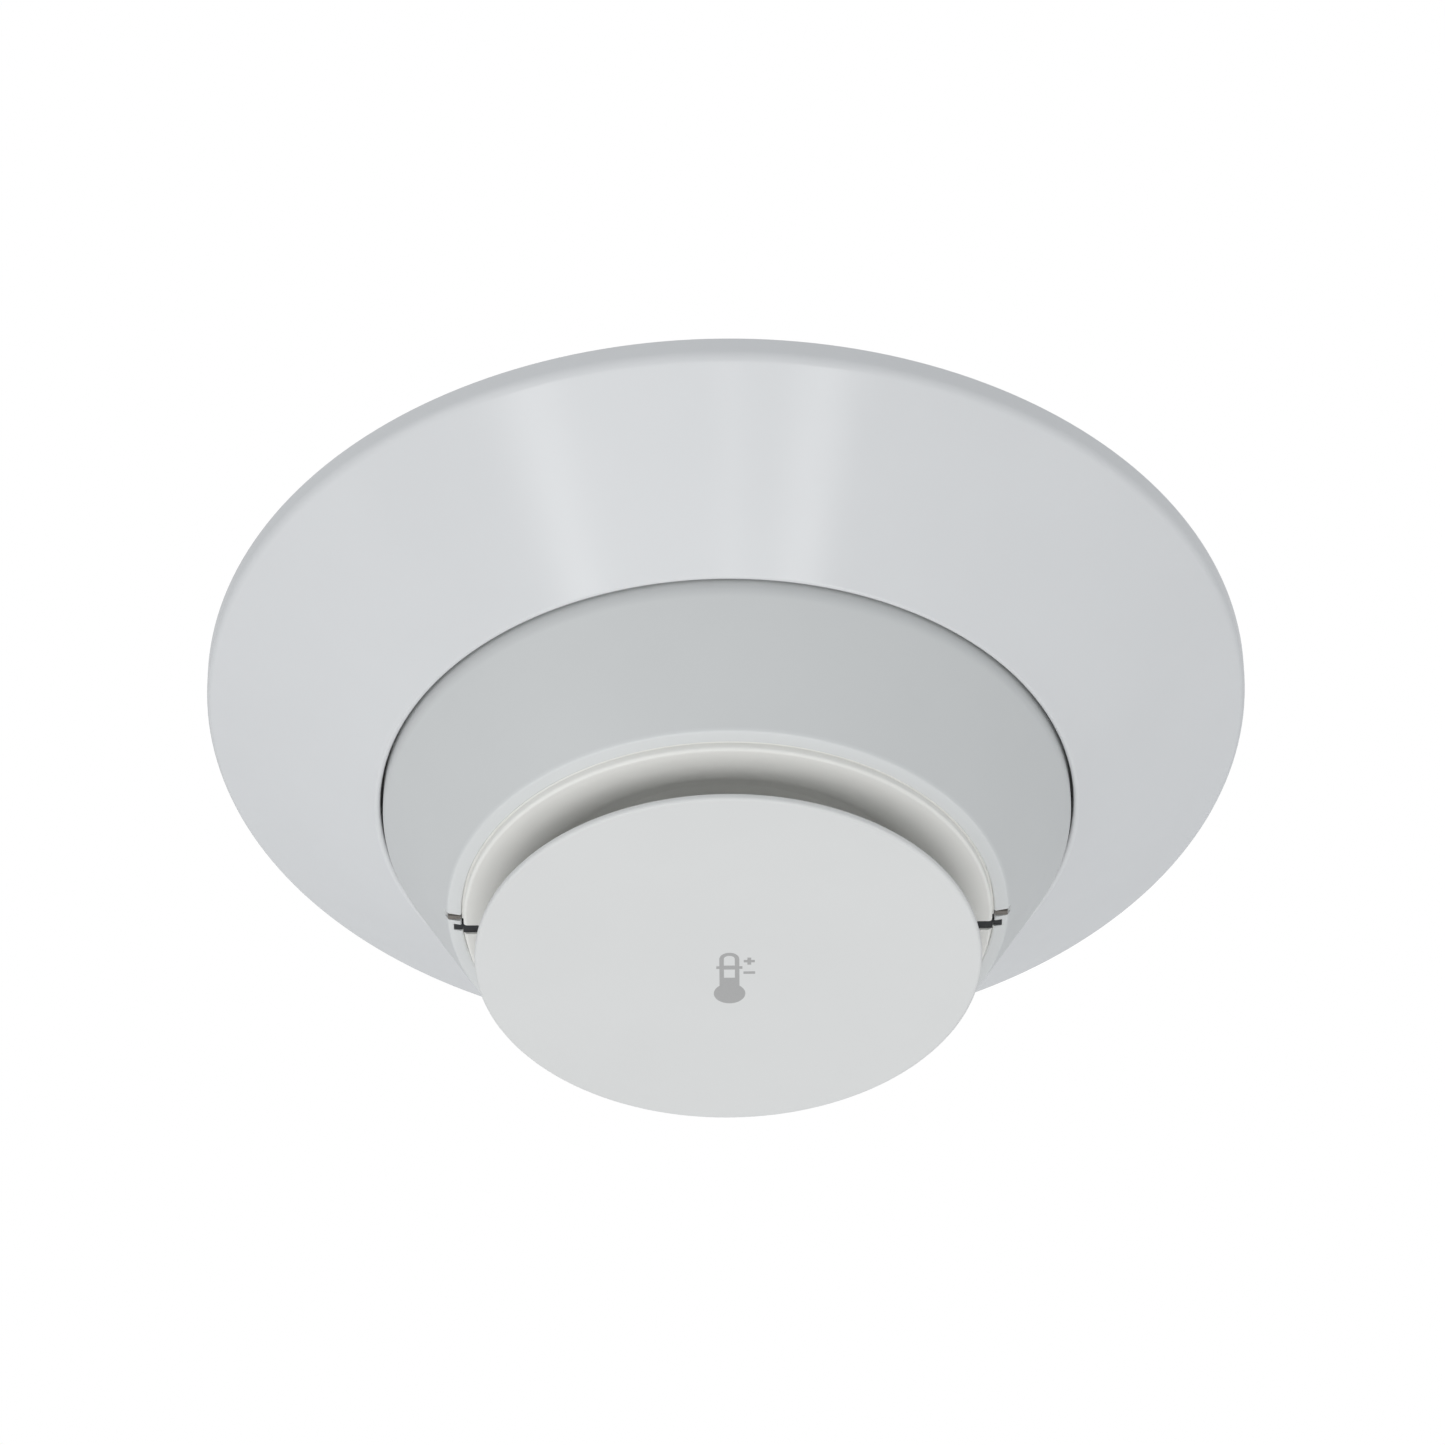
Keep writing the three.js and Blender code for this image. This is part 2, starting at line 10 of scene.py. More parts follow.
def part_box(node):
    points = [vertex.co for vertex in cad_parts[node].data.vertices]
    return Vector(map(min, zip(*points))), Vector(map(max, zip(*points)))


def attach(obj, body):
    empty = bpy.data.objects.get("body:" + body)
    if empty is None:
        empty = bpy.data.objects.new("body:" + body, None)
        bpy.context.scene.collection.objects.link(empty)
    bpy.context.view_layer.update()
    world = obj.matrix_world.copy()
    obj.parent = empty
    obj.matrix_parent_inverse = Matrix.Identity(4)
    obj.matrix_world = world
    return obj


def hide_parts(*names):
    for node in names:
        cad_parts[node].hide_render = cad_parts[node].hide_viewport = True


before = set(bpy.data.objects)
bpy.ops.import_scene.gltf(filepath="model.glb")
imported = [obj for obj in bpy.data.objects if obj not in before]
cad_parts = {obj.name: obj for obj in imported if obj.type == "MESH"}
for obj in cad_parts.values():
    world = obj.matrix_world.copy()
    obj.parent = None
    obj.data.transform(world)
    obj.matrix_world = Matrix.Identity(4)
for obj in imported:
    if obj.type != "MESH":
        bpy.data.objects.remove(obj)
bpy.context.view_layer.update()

MM = 0.001
RING = 224  # sides of the large turned pieces
FINE = 40  # sides of screws, dials and other small turned pieces
SMOOTH_BELOW = 35  # degrees between two faces that are shaded as one
SOFTEN_ABOVE = 40  # degrees between two faces whose edge gets a small bevel


# ---- Sizes read from the frame --------------------------------------------------------------
def low_corner(node):
    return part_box(node)[0] / MM


def high_corner(node):
    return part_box(node)[1] / MM


FLANGE_RADIUS = high_corner("base_body").x
HEAD_RADIUS = high_corner("front_cover").x
HEAD_TOP = high_corner("front_cover").z
LIP_BOTTOM = low_corner("front_cover").z
CHAMBER_BOTTOM = low_corner("sensing_chamber").z
CHAMBER_FLANGE = high_corner("sensing_chamber").x
DISC_RADIUS = high_corner("guard_disc").x
DISC_FACE = low_corner("guard_disc").z
REAR_FLANGE = high_corner("rear_housing").x
REAR_RIM_END = low_corner("rear_housing").z
PIPE_TIP = low_corner("light_pipe_right").z
BOARD_RADIUS = high_corner("circuit_board").x
BOARD_TOP = high_corner("circuit_board").z
BOARD_BOTTOM = low_corner("circuit_board").z
DIAL_TOP = high_corner("address_dial_ones").z
DIAL_BOTTOM = low_corner("address_dial_ones").z
SWITCH_TOP = high_corner("address_switch_ones").z
SWITCH_BOTTOM = low_corner("address_switch_ones").z

# ---- Sizes of the shapes between them ---------------------------------------------------------
GAP = 0.3  # between neighbouring pieces
RIM_DEPTH = 3.5  # upright rim of the flange
COLLAR_RADIUS = 51.2
COLLAR_DEPTH = 23.4
BASE_WALL = 2.2
PLATE = 3
WIRING_RADIUS = 23
FIXING_SLOT = (29, 43, 4.6)  # start, end and width
RIB_COUNT = 12
RIB = 1.6
TERMINAL_BOSS = 4.5  # half of its side
TERMINAL_BOSS_FACE = -4.7
TERMINAL_HOLE = 1.75  # radius
LEDGE_INNER = 47.4
LEDGE_BOTTOM = -17.2
LEDGE_AND_STOP = ((-9, 9, -14.8), (8.6, 11, -11.6))  # degrees from the middle of the ledge, and top

CONE_TOP = -24.4
LIP_RADIUS = 40.9
LIP_EDGE = -42.3
LIP_INNER = 38.9
LIP_SHELF = -40.5
COVER_WALL = 1.6

CHAMBER_RADIUS = 38.6
CHAMBER_RIM = 3.4
CHAMBER_THROAT = 27.5
CHAMBER_FLOOR = -38.1
CHAMBER_WALL = 1.8
CHAMBER_FLANGE_TOP = LIP_SHELF + GAP + 1.4
GROOVE_DEPTH = 0.25  # between ring and lip, up from the lip's face to where the ring steps out
GROOVE_STEP = 0.26
LEAD_X = 8

DISC_THICKNESS = 1.2
DISC_EDGE = 0.5
POST = (18, 21, 5)  # inner and outer radius, and half of its angle
POST_COUNT = 6

REAR_RADIUS = 46.5
REAR_TOP = -11
REAR_FLOOR = 1.8
REAR_WALL = 2
LUG = (45.5, 49.4, -8, 8)  # two radii, and degrees from its middle
LUG_BOTTOM, LUG_TOP = -14.4, -12
PEDESTAL_TOP = -8.4
WINDOW = (4, 5)  # radii of a dial's window and of the raised ring round it
WINDOW_RING = 0.35  # height of that ring

BAYONET_ANGLES = (30, 150, 270)
TERMINAL_ANGLES = (45, 135, 225, 315)
BOARD_SCREW_ANGLES = (90, 210, 330)
TERMINAL_RADIUS = 33
SCREW_OFFSET = 9
BOARD_SCREW_RADIUS = 38
DIAL_X = 9
BLADE_HALF = 2.5
DIAL_RADIUS = 3.4
NOTCH_Y = (-0.7, 0.7)
NOTCH_X = (38.75, 40.3)
NOTCH_HEIGHT = -41.4
DRAIN_Y = (0.4, 2.4)
DRAIN_X = (36.4, 40.1)
DRAIN_END_Y = (1.5, 2.9)
SLOT_BOTTOM = CHAMBER_BOTTOM - 1
SLOT_TOP = LIP_SHELF + 3
# How deep the near-black sheet of painted shade sits inside each drain slot.
SHADE_SHEET_DEPTH = 0.3


# ---- Mesh helpers -----------------------------------------------------------------------------
def turn(point, degrees):
    """A 2D point turned about the origin."""
    c, s = math.cos(math.radians(degrees)), math.sin(math.radians(degrees))
    return point[0] * c - point[1] * s, point[0] * s + point[1] * c


def rounded(corners, steps=6, closed=True):
    """Corners (x, y) or (x, y, fillet); each fillet becomes an arc."""
    made = []
    for i, corner in enumerate(corners):
        here = Vector(corner[:2])
        ends = not closed and i in (0, len(corners) - 1)
        if len(corner) < 3 or not corner[2] or ends:
            made.append(tuple(here))
            continue
        back = (Vector(corners[i - 1][:2]) - here).normalized()
        ahead = (Vector(corners[(i + 1) % len(corners)][:2]) - here).normalized()
        half = back.angle(ahead) / 2
        centre = here + (back + ahead).normalized() * corner[2] / math.sin(half)
        start = here + back * corner[2] / math.tan(half) - centre
        end = here + ahead * corner[2] / math.tan(half) - centre
        sweep = math.degrees(math.atan2(start.x * end.y - start.y * end.x, start.dot(end)))
        for k in range(steps + 1):
            x, y = turn(start, sweep * k / steps)
            made.append((centre.x + x, centre.y + y))
    return made


def to_object(name, bm):
    """Closes a bmesh in millimetres into a smooth-shaded object in metres."""
    bmesh.ops.recalc_face_normals(bm, faces=bm.faces)
    bm.transform(Matrix.Scale(MM, 4))
    mesh = bpy.data.meshes.new(name)
    bm.to_mesh(mesh)
    bm.free()
    shade(mesh)
    made = bpy.data.objects.new(name, mesh)
    bpy.context.scene.collection.objects.link(made)
    return made


def shade(mesh):
    mesh.shade_smooth()
    mesh.set_sharp_from_angle(angle=math.radians(SMOOTH_BELOW))


def add_turned(bm, corners, sides=RING, steps=6, place=(0, 0, 0)):
    """Adds a solid of revolution about Z to bm; the profile closes on itself or on the axis."""
    rings = []
    for radius, z in rounded(corners, steps):
        count = sides if radius > 1e-6 else 1
        ring = []
        for i in range(count):
            x, y = turn((radius, 0), 360 * i / count)
            ring.append(bm.verts.new((x + place[0], y + place[1], z + place[2])))
        rings.append(ring)
    for lower, upper in zip(rings, rings[1:] + rings[:1]):
        low, high = len(lower), len(upper)
        if low == 1 and high == 1:
            continue
        for i in range(sides):
            j = (i + 1) % sides
            around = (lower[i % low], lower[j % low], upper[j % high], upper[i % high])
            bm.faces.new(dict.fromkeys(around))


def turned(name, corners, sides=RING, steps=6, place=(0, 0, 0)):
    bm = bmesh.new()
    add_turned(bm, corners, sides, steps, place)
    return to_object(name, bm)


def add_prism(bm, outline, low, high, matrix=None):
    """Adds a straight extrusion of a 2D outline between two heights."""
    bottom = [bm.verts.new((x, y, low)) for x, y in outline]
    top = [bm.verts.new((x, y, high)) for x, y in outline]
    bm.faces.new(bottom[::-1])
    bm.faces.new(top)
    for i in range(len(outline)):
        j = (i + 1) % len(outline)
        bm.faces.new((bottom[i], bottom[j], top[j], top[i]))
    if matrix is not None:
        bmesh.ops.transform(bm, matrix=matrix, verts=bottom + top)


def about_z(degrees):
    return Matrix.Rotation(math.radians(degrees), 4, "Z")


def rectangle(x, y, fillet=0, steps=4):
    corners = [(x[0], y[0], fillet), (x[1], y[0], fillet), (x[1], y[1], fillet), (x[0], y[1], fillet)]
    return rounded(corners, steps)


def circle(radius, x=0, y=0, sides=FINE):
    points = (turn((radius, 0), 360 * i / sides) for i in range(sides))
    return [(px + x, py + y) for px, py in points]


def ring_sector(inner, outer, start, end, steps=8):
    """Outline of a part of a ring between two angles in degrees."""
    angles = [start + (end - start) * i / steps for i in range(steps + 1)]
    return [turn((outer, 0), a) for a in angles] + [turn((inner, 0), a) for a in reversed(angles)]


# Turns an outline drawn in (radius or tangent, z) into an upright plate across the other axis.
UPRIGHT_RADIAL = Matrix(((1, 0, 0, 0), (0, 0, -1, 0), (0, 1, 0, 0), (0, 0, 0, 1)))
UPRIGHT_TANGENT = Matrix(((0, 0, 1, 0), (1, 0, 0, 0), (0, 1, 0, 0), (0, 0, 0, 1)))


def boolean(piece, tool, operation):
    """Joins or cuts piece with the closed shapes in the bmesh tool, and keeps the result as its mesh."""
    other = to_object(piece.name + "_tool", tool)
    modifier = piece.modifiers.new("boolean", "BOOLEAN")
    modifier.operation, modifier.object, modifier.solver = operation, other, "EXACT"
    graph = bpy.context.evaluated_depsgraph_get()
    mesh = bpy.data.meshes.new_from_object(piece.evaluated_get(graph))
    piece.modifiers.clear()
    piece.data = mesh
    shade(mesh)
    bpy.data.objects.remove(other)
    return piece


def soften(piece, width):
    """Rounds the sharp edges a little, as a mould or a press does."""
    modifier = piece.modifiers.new("edges", "BEVEL")
    modifier.width, modifier.segments = width * MM, 2
    modifier.limit_method, modifier.angle_limit = "ANGLE", math.radians(SOFTEN_ABOVE)
    return piece


def from_curve(name, curve):
    """The filled mesh of a curve or a text, as an object."""
    drawn = bpy.data.objects.new(name, curve)
    bpy.context.scene.collection.objects.link(drawn)
    bpy.context.view_layer.update()
    mesh = bpy.data.meshes.new_from_object(drawn.evaluated_get(bpy.context.evaluated_depsgraph_get()))
    bpy.data.objects.remove(drawn)
    bpy.data.curves.remove(curve)
    made = bpy.data.objects.new(name, mesh)
    bpy.context.scene.collection.objects.link(made)
    return made


def bent_strip(path, thickness, steps=5):
    """Outline of a strip of even thickness along a path with filleted bends."""
    points = [Vector(p) for p in rounded(path, steps, closed=False)]
    left, right = [], []
    for i, point in enumerate(points):
        before = (point - points[i - 1]).normalized() if i else (points[1] - point).normalized()
        after = (points[i + 1] - point).normalized() if i + 1 < len(points) else before
        along = (before + after).normalized()
        normal = Vector((-along.y, along.x))
        reach = thickness / 2 / max(normal.dot(Vector((-before.y, before.x))), 0.5)
        left.append(tuple(point + normal * reach))
        right.append(tuple(point - normal * reach))
    return left + right[::-1]


# ---- Materials --------------------------------------------------------------------------------
class Shader:
    """A node material on object coordinates, with a few short calls to build it."""

    def __init__(self, name, color, roughness, metallic=0.0):
        self.material = bpy.data.materials.new(name)
        self.material.use_nodes = True
        self.tree = self.material.node_tree
        self.surface = self.tree.nodes["Principled BSDF"]
        self.surface.inputs["Base Color"].default_value = (*color, 1)
        self.surface.inputs["Roughness"].default_value = roughness
        self.surface.inputs["Metallic"].default_value = metallic
        self.coordinates = self.node("ShaderNodeTexCoord").outputs["Object"]

    def node(self, kind, **values):
        made = self.tree.nodes.new(kind)
        for name, value in values.items():
            setattr(made, name, value)
        return made

    def link(self, output, target):
        self.tree.links.new(output, target)

    def noise(self, feature_mm, detail=2.0, stretch=(1, 1, 1)):
        """Noise whose features are about feature_mm across."""
        mapping = self.node("ShaderNodeMapping")
        mapping.inputs["Scale"].default_value = stretch
        self.link(self.coordinates, mapping.inputs["Vector"])
        noise = self.node("ShaderNodeTexNoise")
        noise.inputs["Scale"].default_value = 1 / (feature_mm * MM)
        noise.inputs["Detail"].default_value = detail
        self.link(mapping.outputs["Vector"], noise.inputs["Vector"])
        return noise.outputs["Fac"]

    def span(self, factor, low, high):
        """A factor of about 0.3 to 0.7 spread over low to high."""
        spread = self.node("ShaderNodeMapRange")
        spread.inputs["From Min"].default_value = 0.3
        spread.inputs["From Max"].default_value = 0.7
        spread.inputs["To Min"].default_value = low
        spread.inputs["To Max"].default_value = high
        self.link(factor, spread.inputs["Value"])
        return spread.outputs["Result"]

    def colours(self, factor, *stops):
        """Base colour from a factor through (position, colour) stops."""
        ramp = self.node("ShaderNodeValToRGB")
        elements = ramp.color_ramp.elements
        while len(elements) < len(stops):
            elements.new(0.5)
        for element, (position, color) in zip(elements, stops):
            element.position, element.color = position, (*color, 1)
        self.link(factor, ramp.inputs["Fac"])
        self.link(ramp.outputs["Color"], self.surface.inputs["Base Color"])
        return ramp.outputs["Color"]

    def lighten_below(self, colour, top_mm, bottom_mm, factor):
        """Base colour that grows lighter by factor from one height down to another."""
        height = self.node("ShaderNodeSeparateXYZ")
        self.link(self.coordinates, height.inputs["Vector"])
        fade = self.node("ShaderNodeMapRange")
        fade.inputs["From Min"].default_value = bottom_mm * MM
        fade.inputs["From Max"].default_value = top_mm * MM
        fade.inputs["To Min"].default_value = factor
        fade.inputs["To Max"].default_value = 1
        self.link(height.outputs["Z"], fade.inputs["Value"])
        scaled = self.node("ShaderNodeVectorMath", operation="SCALE")
        self.link(colour, scaled.inputs[0])
        self.link(fade.outputs["Result"], scaled.inputs["Scale"])
        self.link(scaled.outputs["Vector"], self.surface.inputs["Base Color"])

    def bump(self, height, depth_mm):
        """Raises the surface by height, on top of any bump already there."""
        bump = self.node("ShaderNodeBump")
        bump.inputs["Strength"].default_value = 1
        bump.inputs["Distance"].default_value = depth_mm * MM
        self.link(height, bump.inputs["Height"])
        earlier = self.surface.inputs["Normal"].links
        if earlier:
            self.link(earlier[0].from_socket, bump.inputs["Normal"])
        self.link(bump.outputs["Normal"], self.surface.inputs["Normal"])


def shaded(color, factor):
    return tuple(channel * factor for channel in color)


def moulded_plastic(name, color, roughness, texture_mm, texture_depth, tone=0.985, painted_highlight_edge=None):
    """Injection-moulded plastic: fine mould texture, slow flow ripple and slight unevenness of tone.

    The last argument is a top, a bottom and a factor: a painted highlight, the colour made lighter towards
    the bottom edge where light falls on it.
    """
    plastic = Shader(name, color, roughness)
    cloud = plastic.noise(22, 3)
    body = plastic.colours(cloud, (0.35, shaded(color, tone)), (0.65, color))
    if painted_highlight_edge:
        # painted highlight: the base colour grows lighter towards the lower edge
        plastic.lighten_below(body, *painted_highlight_edge)
    grain = plastic.noise(texture_mm, 3)
    sheen_change = plastic.span(plastic.noise(6, 2), roughness * 0.92, roughness * 1.08)
    plastic.link(sheen_change, plastic.surface.inputs["Roughness"])
    plastic.bump(plastic.noise(14, 1), 0.012)
    plastic.bump(grain, texture_depth)
    plastic.surface.inputs["IOR"].default_value = 1.5
    return plastic.material


def plated_metal(name, color, roughness, scratch_mm=0.15):
    """Plated sheet metal: fine drawn lines, faint stains."""
    metal = Shader(name, color, roughness, metallic=1.0)
    stain = metal.noise(1.6, 3)
    metal.colours(stain, (0.3, shaded(color, 0.86)), (0.7, color))
    wear = metal.span(metal.noise(0.7, 3), roughness * 0.7, roughness * 1.35)
    metal.link(wear, metal.surface.inputs["Roughness"])
    metal.bump(metal.noise(scratch_mm, 4, stretch=(1, 8, 1)), 0.006)
    return metal.material


def board_laminate():
    """Solder mask over glass weave, with copper tracks that show through as a lighter green."""
    board = Shader("board_laminate", (0.02, 0.11, 0.04), 0.35)
    brick = board.node("ShaderNodeTexBrick")
    brick.inputs["Scale"].default_value = 1 / (1.6 * MM)
    brick.inputs["Mortar Size"].default_value = 0.12
    board.link(board.coordinates, brick.inputs["Vector"])
    board.colours(brick.outputs["Fac"], (0.0, (0.02, 0.1, 0.035)), (1.0, (0.035, 0.17, 0.06)))
    board.bump(brick.outputs["Fac"], 0.02)
    board.bump(board.noise(0.4, 2), 0.004)
    return board.material


def clear_resin(name, color, roughness, transmission):
    """Tinted see-through resin with tiny flow marks."""
    resin = Shader(name, color, roughness)
    resin.colours(resin.noise(0.8, 2), (0.3, shaded(color, 0.8)), (0.7, color))
    resin.bump(resin.noise(0.5, 2), 0.003)
    resin.surface.inputs["Transmission Weight"].default_value = transmission
    resin.surface.inputs["IOR"].default_value = 1.49
    return resin.material


def printed_ink():
    """Thin grey pad print with slight pinholes in its coverage."""
    ink = Shader("symbol_ink", (0.425, 0.422, 0.418), 0.6)
    ink.colours(ink.noise(0.12, 3), (0.32, (0.475, 0.472, 0.468)), (0.5, (0.425, 0.422, 0.418)))
    ink.bump(ink.noise(0.08, 2), 0.002)
    return ink.material


MATERIALS = {
    "base_plastic": moulded_plastic("base_plastic", (0.765, 0.772, 0.778), 0.16, 0.5, 0.0012),
    # The cover's lip face gets a painted highlight: its colour is made lighter where light falls on the lip.
    "cover_plastic": moulded_plastic(
        "cover_plastic", (0.695, 0.706, 0.702), 0.4, 0.35, 0.004, painted_highlight_edge=(LIP_EDGE + 0.6, LIP_EDGE, 1.1)
    ),
    "guard_plastic": moulded_plastic("guard_plastic", (0.765, 0.768, 0.758), 0.5, 0.3, 0.005),
    # Lighter, warmer copy of the guard plastic for the sensing chamber: painted light standing in for light
    # bounced into its shaded throat.
    "chamber_plastic_painted_light": moulded_plastic("chamber_plastic_painted_light", (0.94, 0.93, 0.89), 0.5, 0.3, 0.005),
    "rear_plastic": moulded_plastic("rear_plastic", (0.68, 0.685, 0.68), 0.5, 0.4, 0.006),
    "steel": plated_metal("steel", (0.68, 0.69, 0.7), 0.28),
    "tinned_brass": plated_metal("tinned_brass", (0.76, 0.72, 0.6), 0.3, 0.25),
    "board": board_laminate(),
    "epoxy": moulded_plastic("epoxy", (0.022, 0.023, 0.026), 0.45, 0.15, 0.006, tone=0.8),
    "aluminium_can": plated_metal("aluminium_can", (0.72, 0.73, 0.74), 0.35, 0.4),
    "light_pipe": clear_resin("light_pipe", (0.33, 0.3, 0.27), 0.12, 0.35),
    "led_resin": clear_resin("led_resin", (0.5, 0.03, 0.02), 0.12, 0.6),
    "reed_glass": clear_resin("reed_glass", (0.75, 0.88, 0.8), 0.04, 0.9),
    "dial_plastic": moulded_plastic("dial_plastic", (0.05, 0.16, 0.38), 0.4, 0.2, 0.004, tone=0.85),
    "symbol_ink": printed_ink(),
}


def place(piece, body, slot, *nodes, look=None):
    """Gives a piece its finish and its body, and hides the CAD nodes that it stands for.

    Flat and conical faces decide the shading, so a small fillet beside them doesn't streak them.
    """
    piece.data.materials.clear()
    piece.data.materials.append(MATERIALS[look or slot])
    even = piece.modifiers.new("even_shading", "WEIGHTED_NORMAL")
    even.weight, even.keep_sharp = 100, True
    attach(piece, body)
    if nodes:
        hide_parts(*nodes)


# ---- Base -------------------------------------------------------------------------------------
CONE_SLOPE = (COLLAR_DEPTH - RIM_DEPTH) / (FLANGE_RADIUS - COLLAR_RADIUS)
CONE_RISE = BASE_WALL * math.hypot(1, CONE_SLOPE)


def flange_surface(radius):
    return -COLLAR_DEPTH + CONE_SLOPE * (radius - COLLAR_RADIUS)


def add_ribs(body):
    """Ribs behind the flange."""
    bm = bmesh.new()
    inner, outer = COLLAR_RADIUS + BASE_WALL / 2, FLANGE_RADIUS - BASE_WALL / 2
    rib = [
        (inner, -0.8),
        (inner, flange_surface(inner) + CONE_RISE / 2),
        (outer, flange_surface(outer) + CONE_RISE / 2),
        (outer, -0.8),
    ]
    for i in range(RIB_COUNT):
        add_prism(bm, rib, -RIB / 2, RIB / 2, about_z(i * 360 / RIB_COUNT) @ UPRIGHT_RADIAL)
    boolean(body, bm, "UNION")


def add_terminal_bosses(body):
    bm = bmesh.new()
    x = (TERMINAL_RADIUS - TERMINAL_BOSS, TERMINAL_RADIUS + TERMINAL_BOSS)
    y = (SCREW_OFFSET - TERMINAL_BOSS, SCREW_OFFSET + TERMINAL_BOSS)
    for angle in TERMINAL_ANGLES:
        add_prism(bm, rectangle(x, y, 0.8), TERMINAL_BOSS_FACE, -PLATE + 0.5, about_z(angle))
    boolean(body, bm, "UNION")


def add_bayonet_ledges(body):
    """Ledges that carry the head's lugs, each with a stop at its end."""
    outside = COLLAR_RADIUS + BASE_WALL / 2
    for start, end, top in LEDGE_AND_STOP:
        bm = bmesh.new()
        for angle in BAYONET_ANGLES:
            add_prism(bm, ring_sector(LEDGE_INNER, outside, start, end), LEDGE_BOTTOM, top, about_z(angle))
        boolean(body, bm, "UNION")


def cut_base_holes(body):
    """Fixing slots and terminal screw holes."""
    bm = bmesh.new()
    start, end, width = FIXING_SLOT
    slot = rectangle((start, end), (-width / 2, width / 2), width / 2 - 0.01, 10)
    for angle in (0, 180):
        add_prism(bm, slot, -PLATE - 1, 1, about_z(angle))
    for angle in TERMINAL_ANGLES:
        add_prism(bm, circle(TERMINAL_HOLE, TERMINAL_RADIUS, SCREW_OFFSET), -6, -1, about_z(angle))
    boolean(body, bm, "DIFFERENCE")


def base_body():
    back = FLANGE_RADIUS - BASE_WALL
    collar_back = COLLAR_RADIUS + BASE_WALL
    body = turned(
        "base_shell",
        [
            (WIRING_RADIUS, -PLATE, 0.4),
            (COLLAR_RADIUS, -PLATE, 0.5),
            (COLLAR_RADIUS, -COLLAR_DEPTH, 0.6),
            (FLANGE_RADIUS, -RIM_DEPTH, 2),
            (FLANGE_RADIUS, 0, 0.4),
            (back, 0, 0.3),
            (back, flange_surface(back) + CONE_RISE, 0.6),
            (collar_back, flange_surface(collar_back) + CONE_RISE, 1),
            (collar_back, 0, 0.4),
            (WIRING_RADIUS, 0, 0.4),
        ],
    )
    add_ribs(body)
    add_terminal_bosses(body)
    add_bayonet_ledges(body)
    cut_base_holes(body)
    place(body, "base", "base_plastic", "base_body")


# ---- Terminals --------------------------------------------------------------------------------
def contact_springs():
    path = [(SCREW_OFFSET + 4, -5.25), (5, -5.25, 1.2), (0, -6.75, 1), (-3.4, -5.85)]
    for i, angle in enumerate(TERMINAL_ANGLES):
        bm = bmesh.new()
        outline = bent_strip(path, 0.5, 8)
        add_prism(bm, outline, TERMINAL_RADIUS - 3, TERMINAL_RADIUS + 3, about_z(angle) @ UPRIGHT_TANGENT)
        spring = to_object(f"contact_leaf_{i + 1}", bm)
        hole = bmesh.new()
        add_prism(hole, circle(TERMINAL_HOLE, TERMINAL_RADIUS, SCREW_OFFSET), -6.5, -4, about_z(angle))
        boolean(spring, hole, "DIFFERENCE")
        soften(spring, 0.08)
        place(spring, "base", "tinned_brass", f"contact_spring_{i + 1}")


def terminal_clamps():
    for i, angle in enumerate(TERMINAL_ANGLES):
        x = (TERMINAL_RADIUS - 3.9, TERMINAL_RADIUS + 3.9)
        y = (SCREW_OFFSET - 3.9, SCREW_OFFSET + 3.9)
        bm = bmesh.new()
        add_prism(bm, rectangle(x, y, 0.5), -6.8, -5.8, about_z(angle))
        clamp = to_object(f"wire_clamp_{i + 1}", bm)
        lip = bmesh.new()
        add_prism(lip, rectangle((x[0], x[0] + 0.6), y, 0.2), -6.3, -5.3, about_z(angle))
        boolean(clamp, lip, "UNION")
        hole = bmesh.new()
        add_prism(hole, circle(TERMINAL_HOLE, TERMINAL_RADIUS, SCREW_OFFSET), -8, -4, about_z(angle))
        boolean(clamp, hole, "DIFFERENCE")
        soften(clamp, 0.1)
        place(clamp, "base", "tinned_brass", f"terminal_clamp_{i + 1}")


def pan_screw(name, seat, shank, length, head, height, slot, angle, radius, tangent):
    """A pan-head screw, head down, with a driver slot and turned thread rings.

    shank and head are radii. The screw stands at (radius, tangent), turned about Z by angle degrees.
    """
    profile = [(0, -height), (head, -height, height * 0.45), (head, 0, 0.1), (shank, 0)]
    z, pitch = 0.4, 0.5
    while z + pitch < length - 0.4:
        profile += [(shank, z), (shank - 0.22, z + pitch / 2)]
        z += pitch
    profile += [(shank, length - 0.5), (shank - 0.4, length), (0, length)]
    x, y = turn((radius, tangent), angle)
    screw = turned(name, profile, FINE, 5, (x, y, seat))
    groove = bmesh.new()
    facing = Matrix.Translation((x, y, seat)) @ about_z(angle + 25)
    outline = rectangle((-head - 1, head + 1), (-slot / 2, slot / 2))
    add_prism(groove, outline, -height - 1, -height * 0.5, facing)
    return boolean(screw, groove, "DIFFERENCE")


def terminal_screws():
    for i, angle in enumerate(TERMINAL_ANGLES):
        length = 5.6
        screw = pan_screw(
            f"wire_screw_{i + 1}", high_corner(f"terminal_screw_{i + 1}").z - length,
            shank=1.4, length=length, head=2.8, height=2, slot=0.7,
            angle=angle, radius=TERMINAL_RADIUS, tangent=SCREW_OFFSET,
        )
        place(screw, "base", "steel", f"terminal_screw_{i + 1}")


def board_screws():
    for i, angle in enumerate(BOARD_SCREW_ANGLES):
        length = 6
        screw = pan_screw(
            f"pan_screw_{i + 1}", high_corner(f"board_screw_{i + 1}").z - length,
            shank=1.2, length=length, head=2.6, height=1.7, slot=0.6,
            angle=angle, radius=BOARD_SCREW_RADIUS, tangent=0,
        )
        place(screw, "head", "steel", f"board_screw_{i + 1}")


# ---- Head mouldings ---------------------------------------------------------------------------
def carve(piece, x, y, z, fillet=0.12):
    """Cuts an upright opening into a piece on both sides of the detector."""
    for start, end in (x, (-x[1], -x[0])):
        tool = bmesh.new()
        add_prism(tool, rectangle((start, end), y, fillet), *z)
        boolean(piece, tool, "DIFFERENCE")


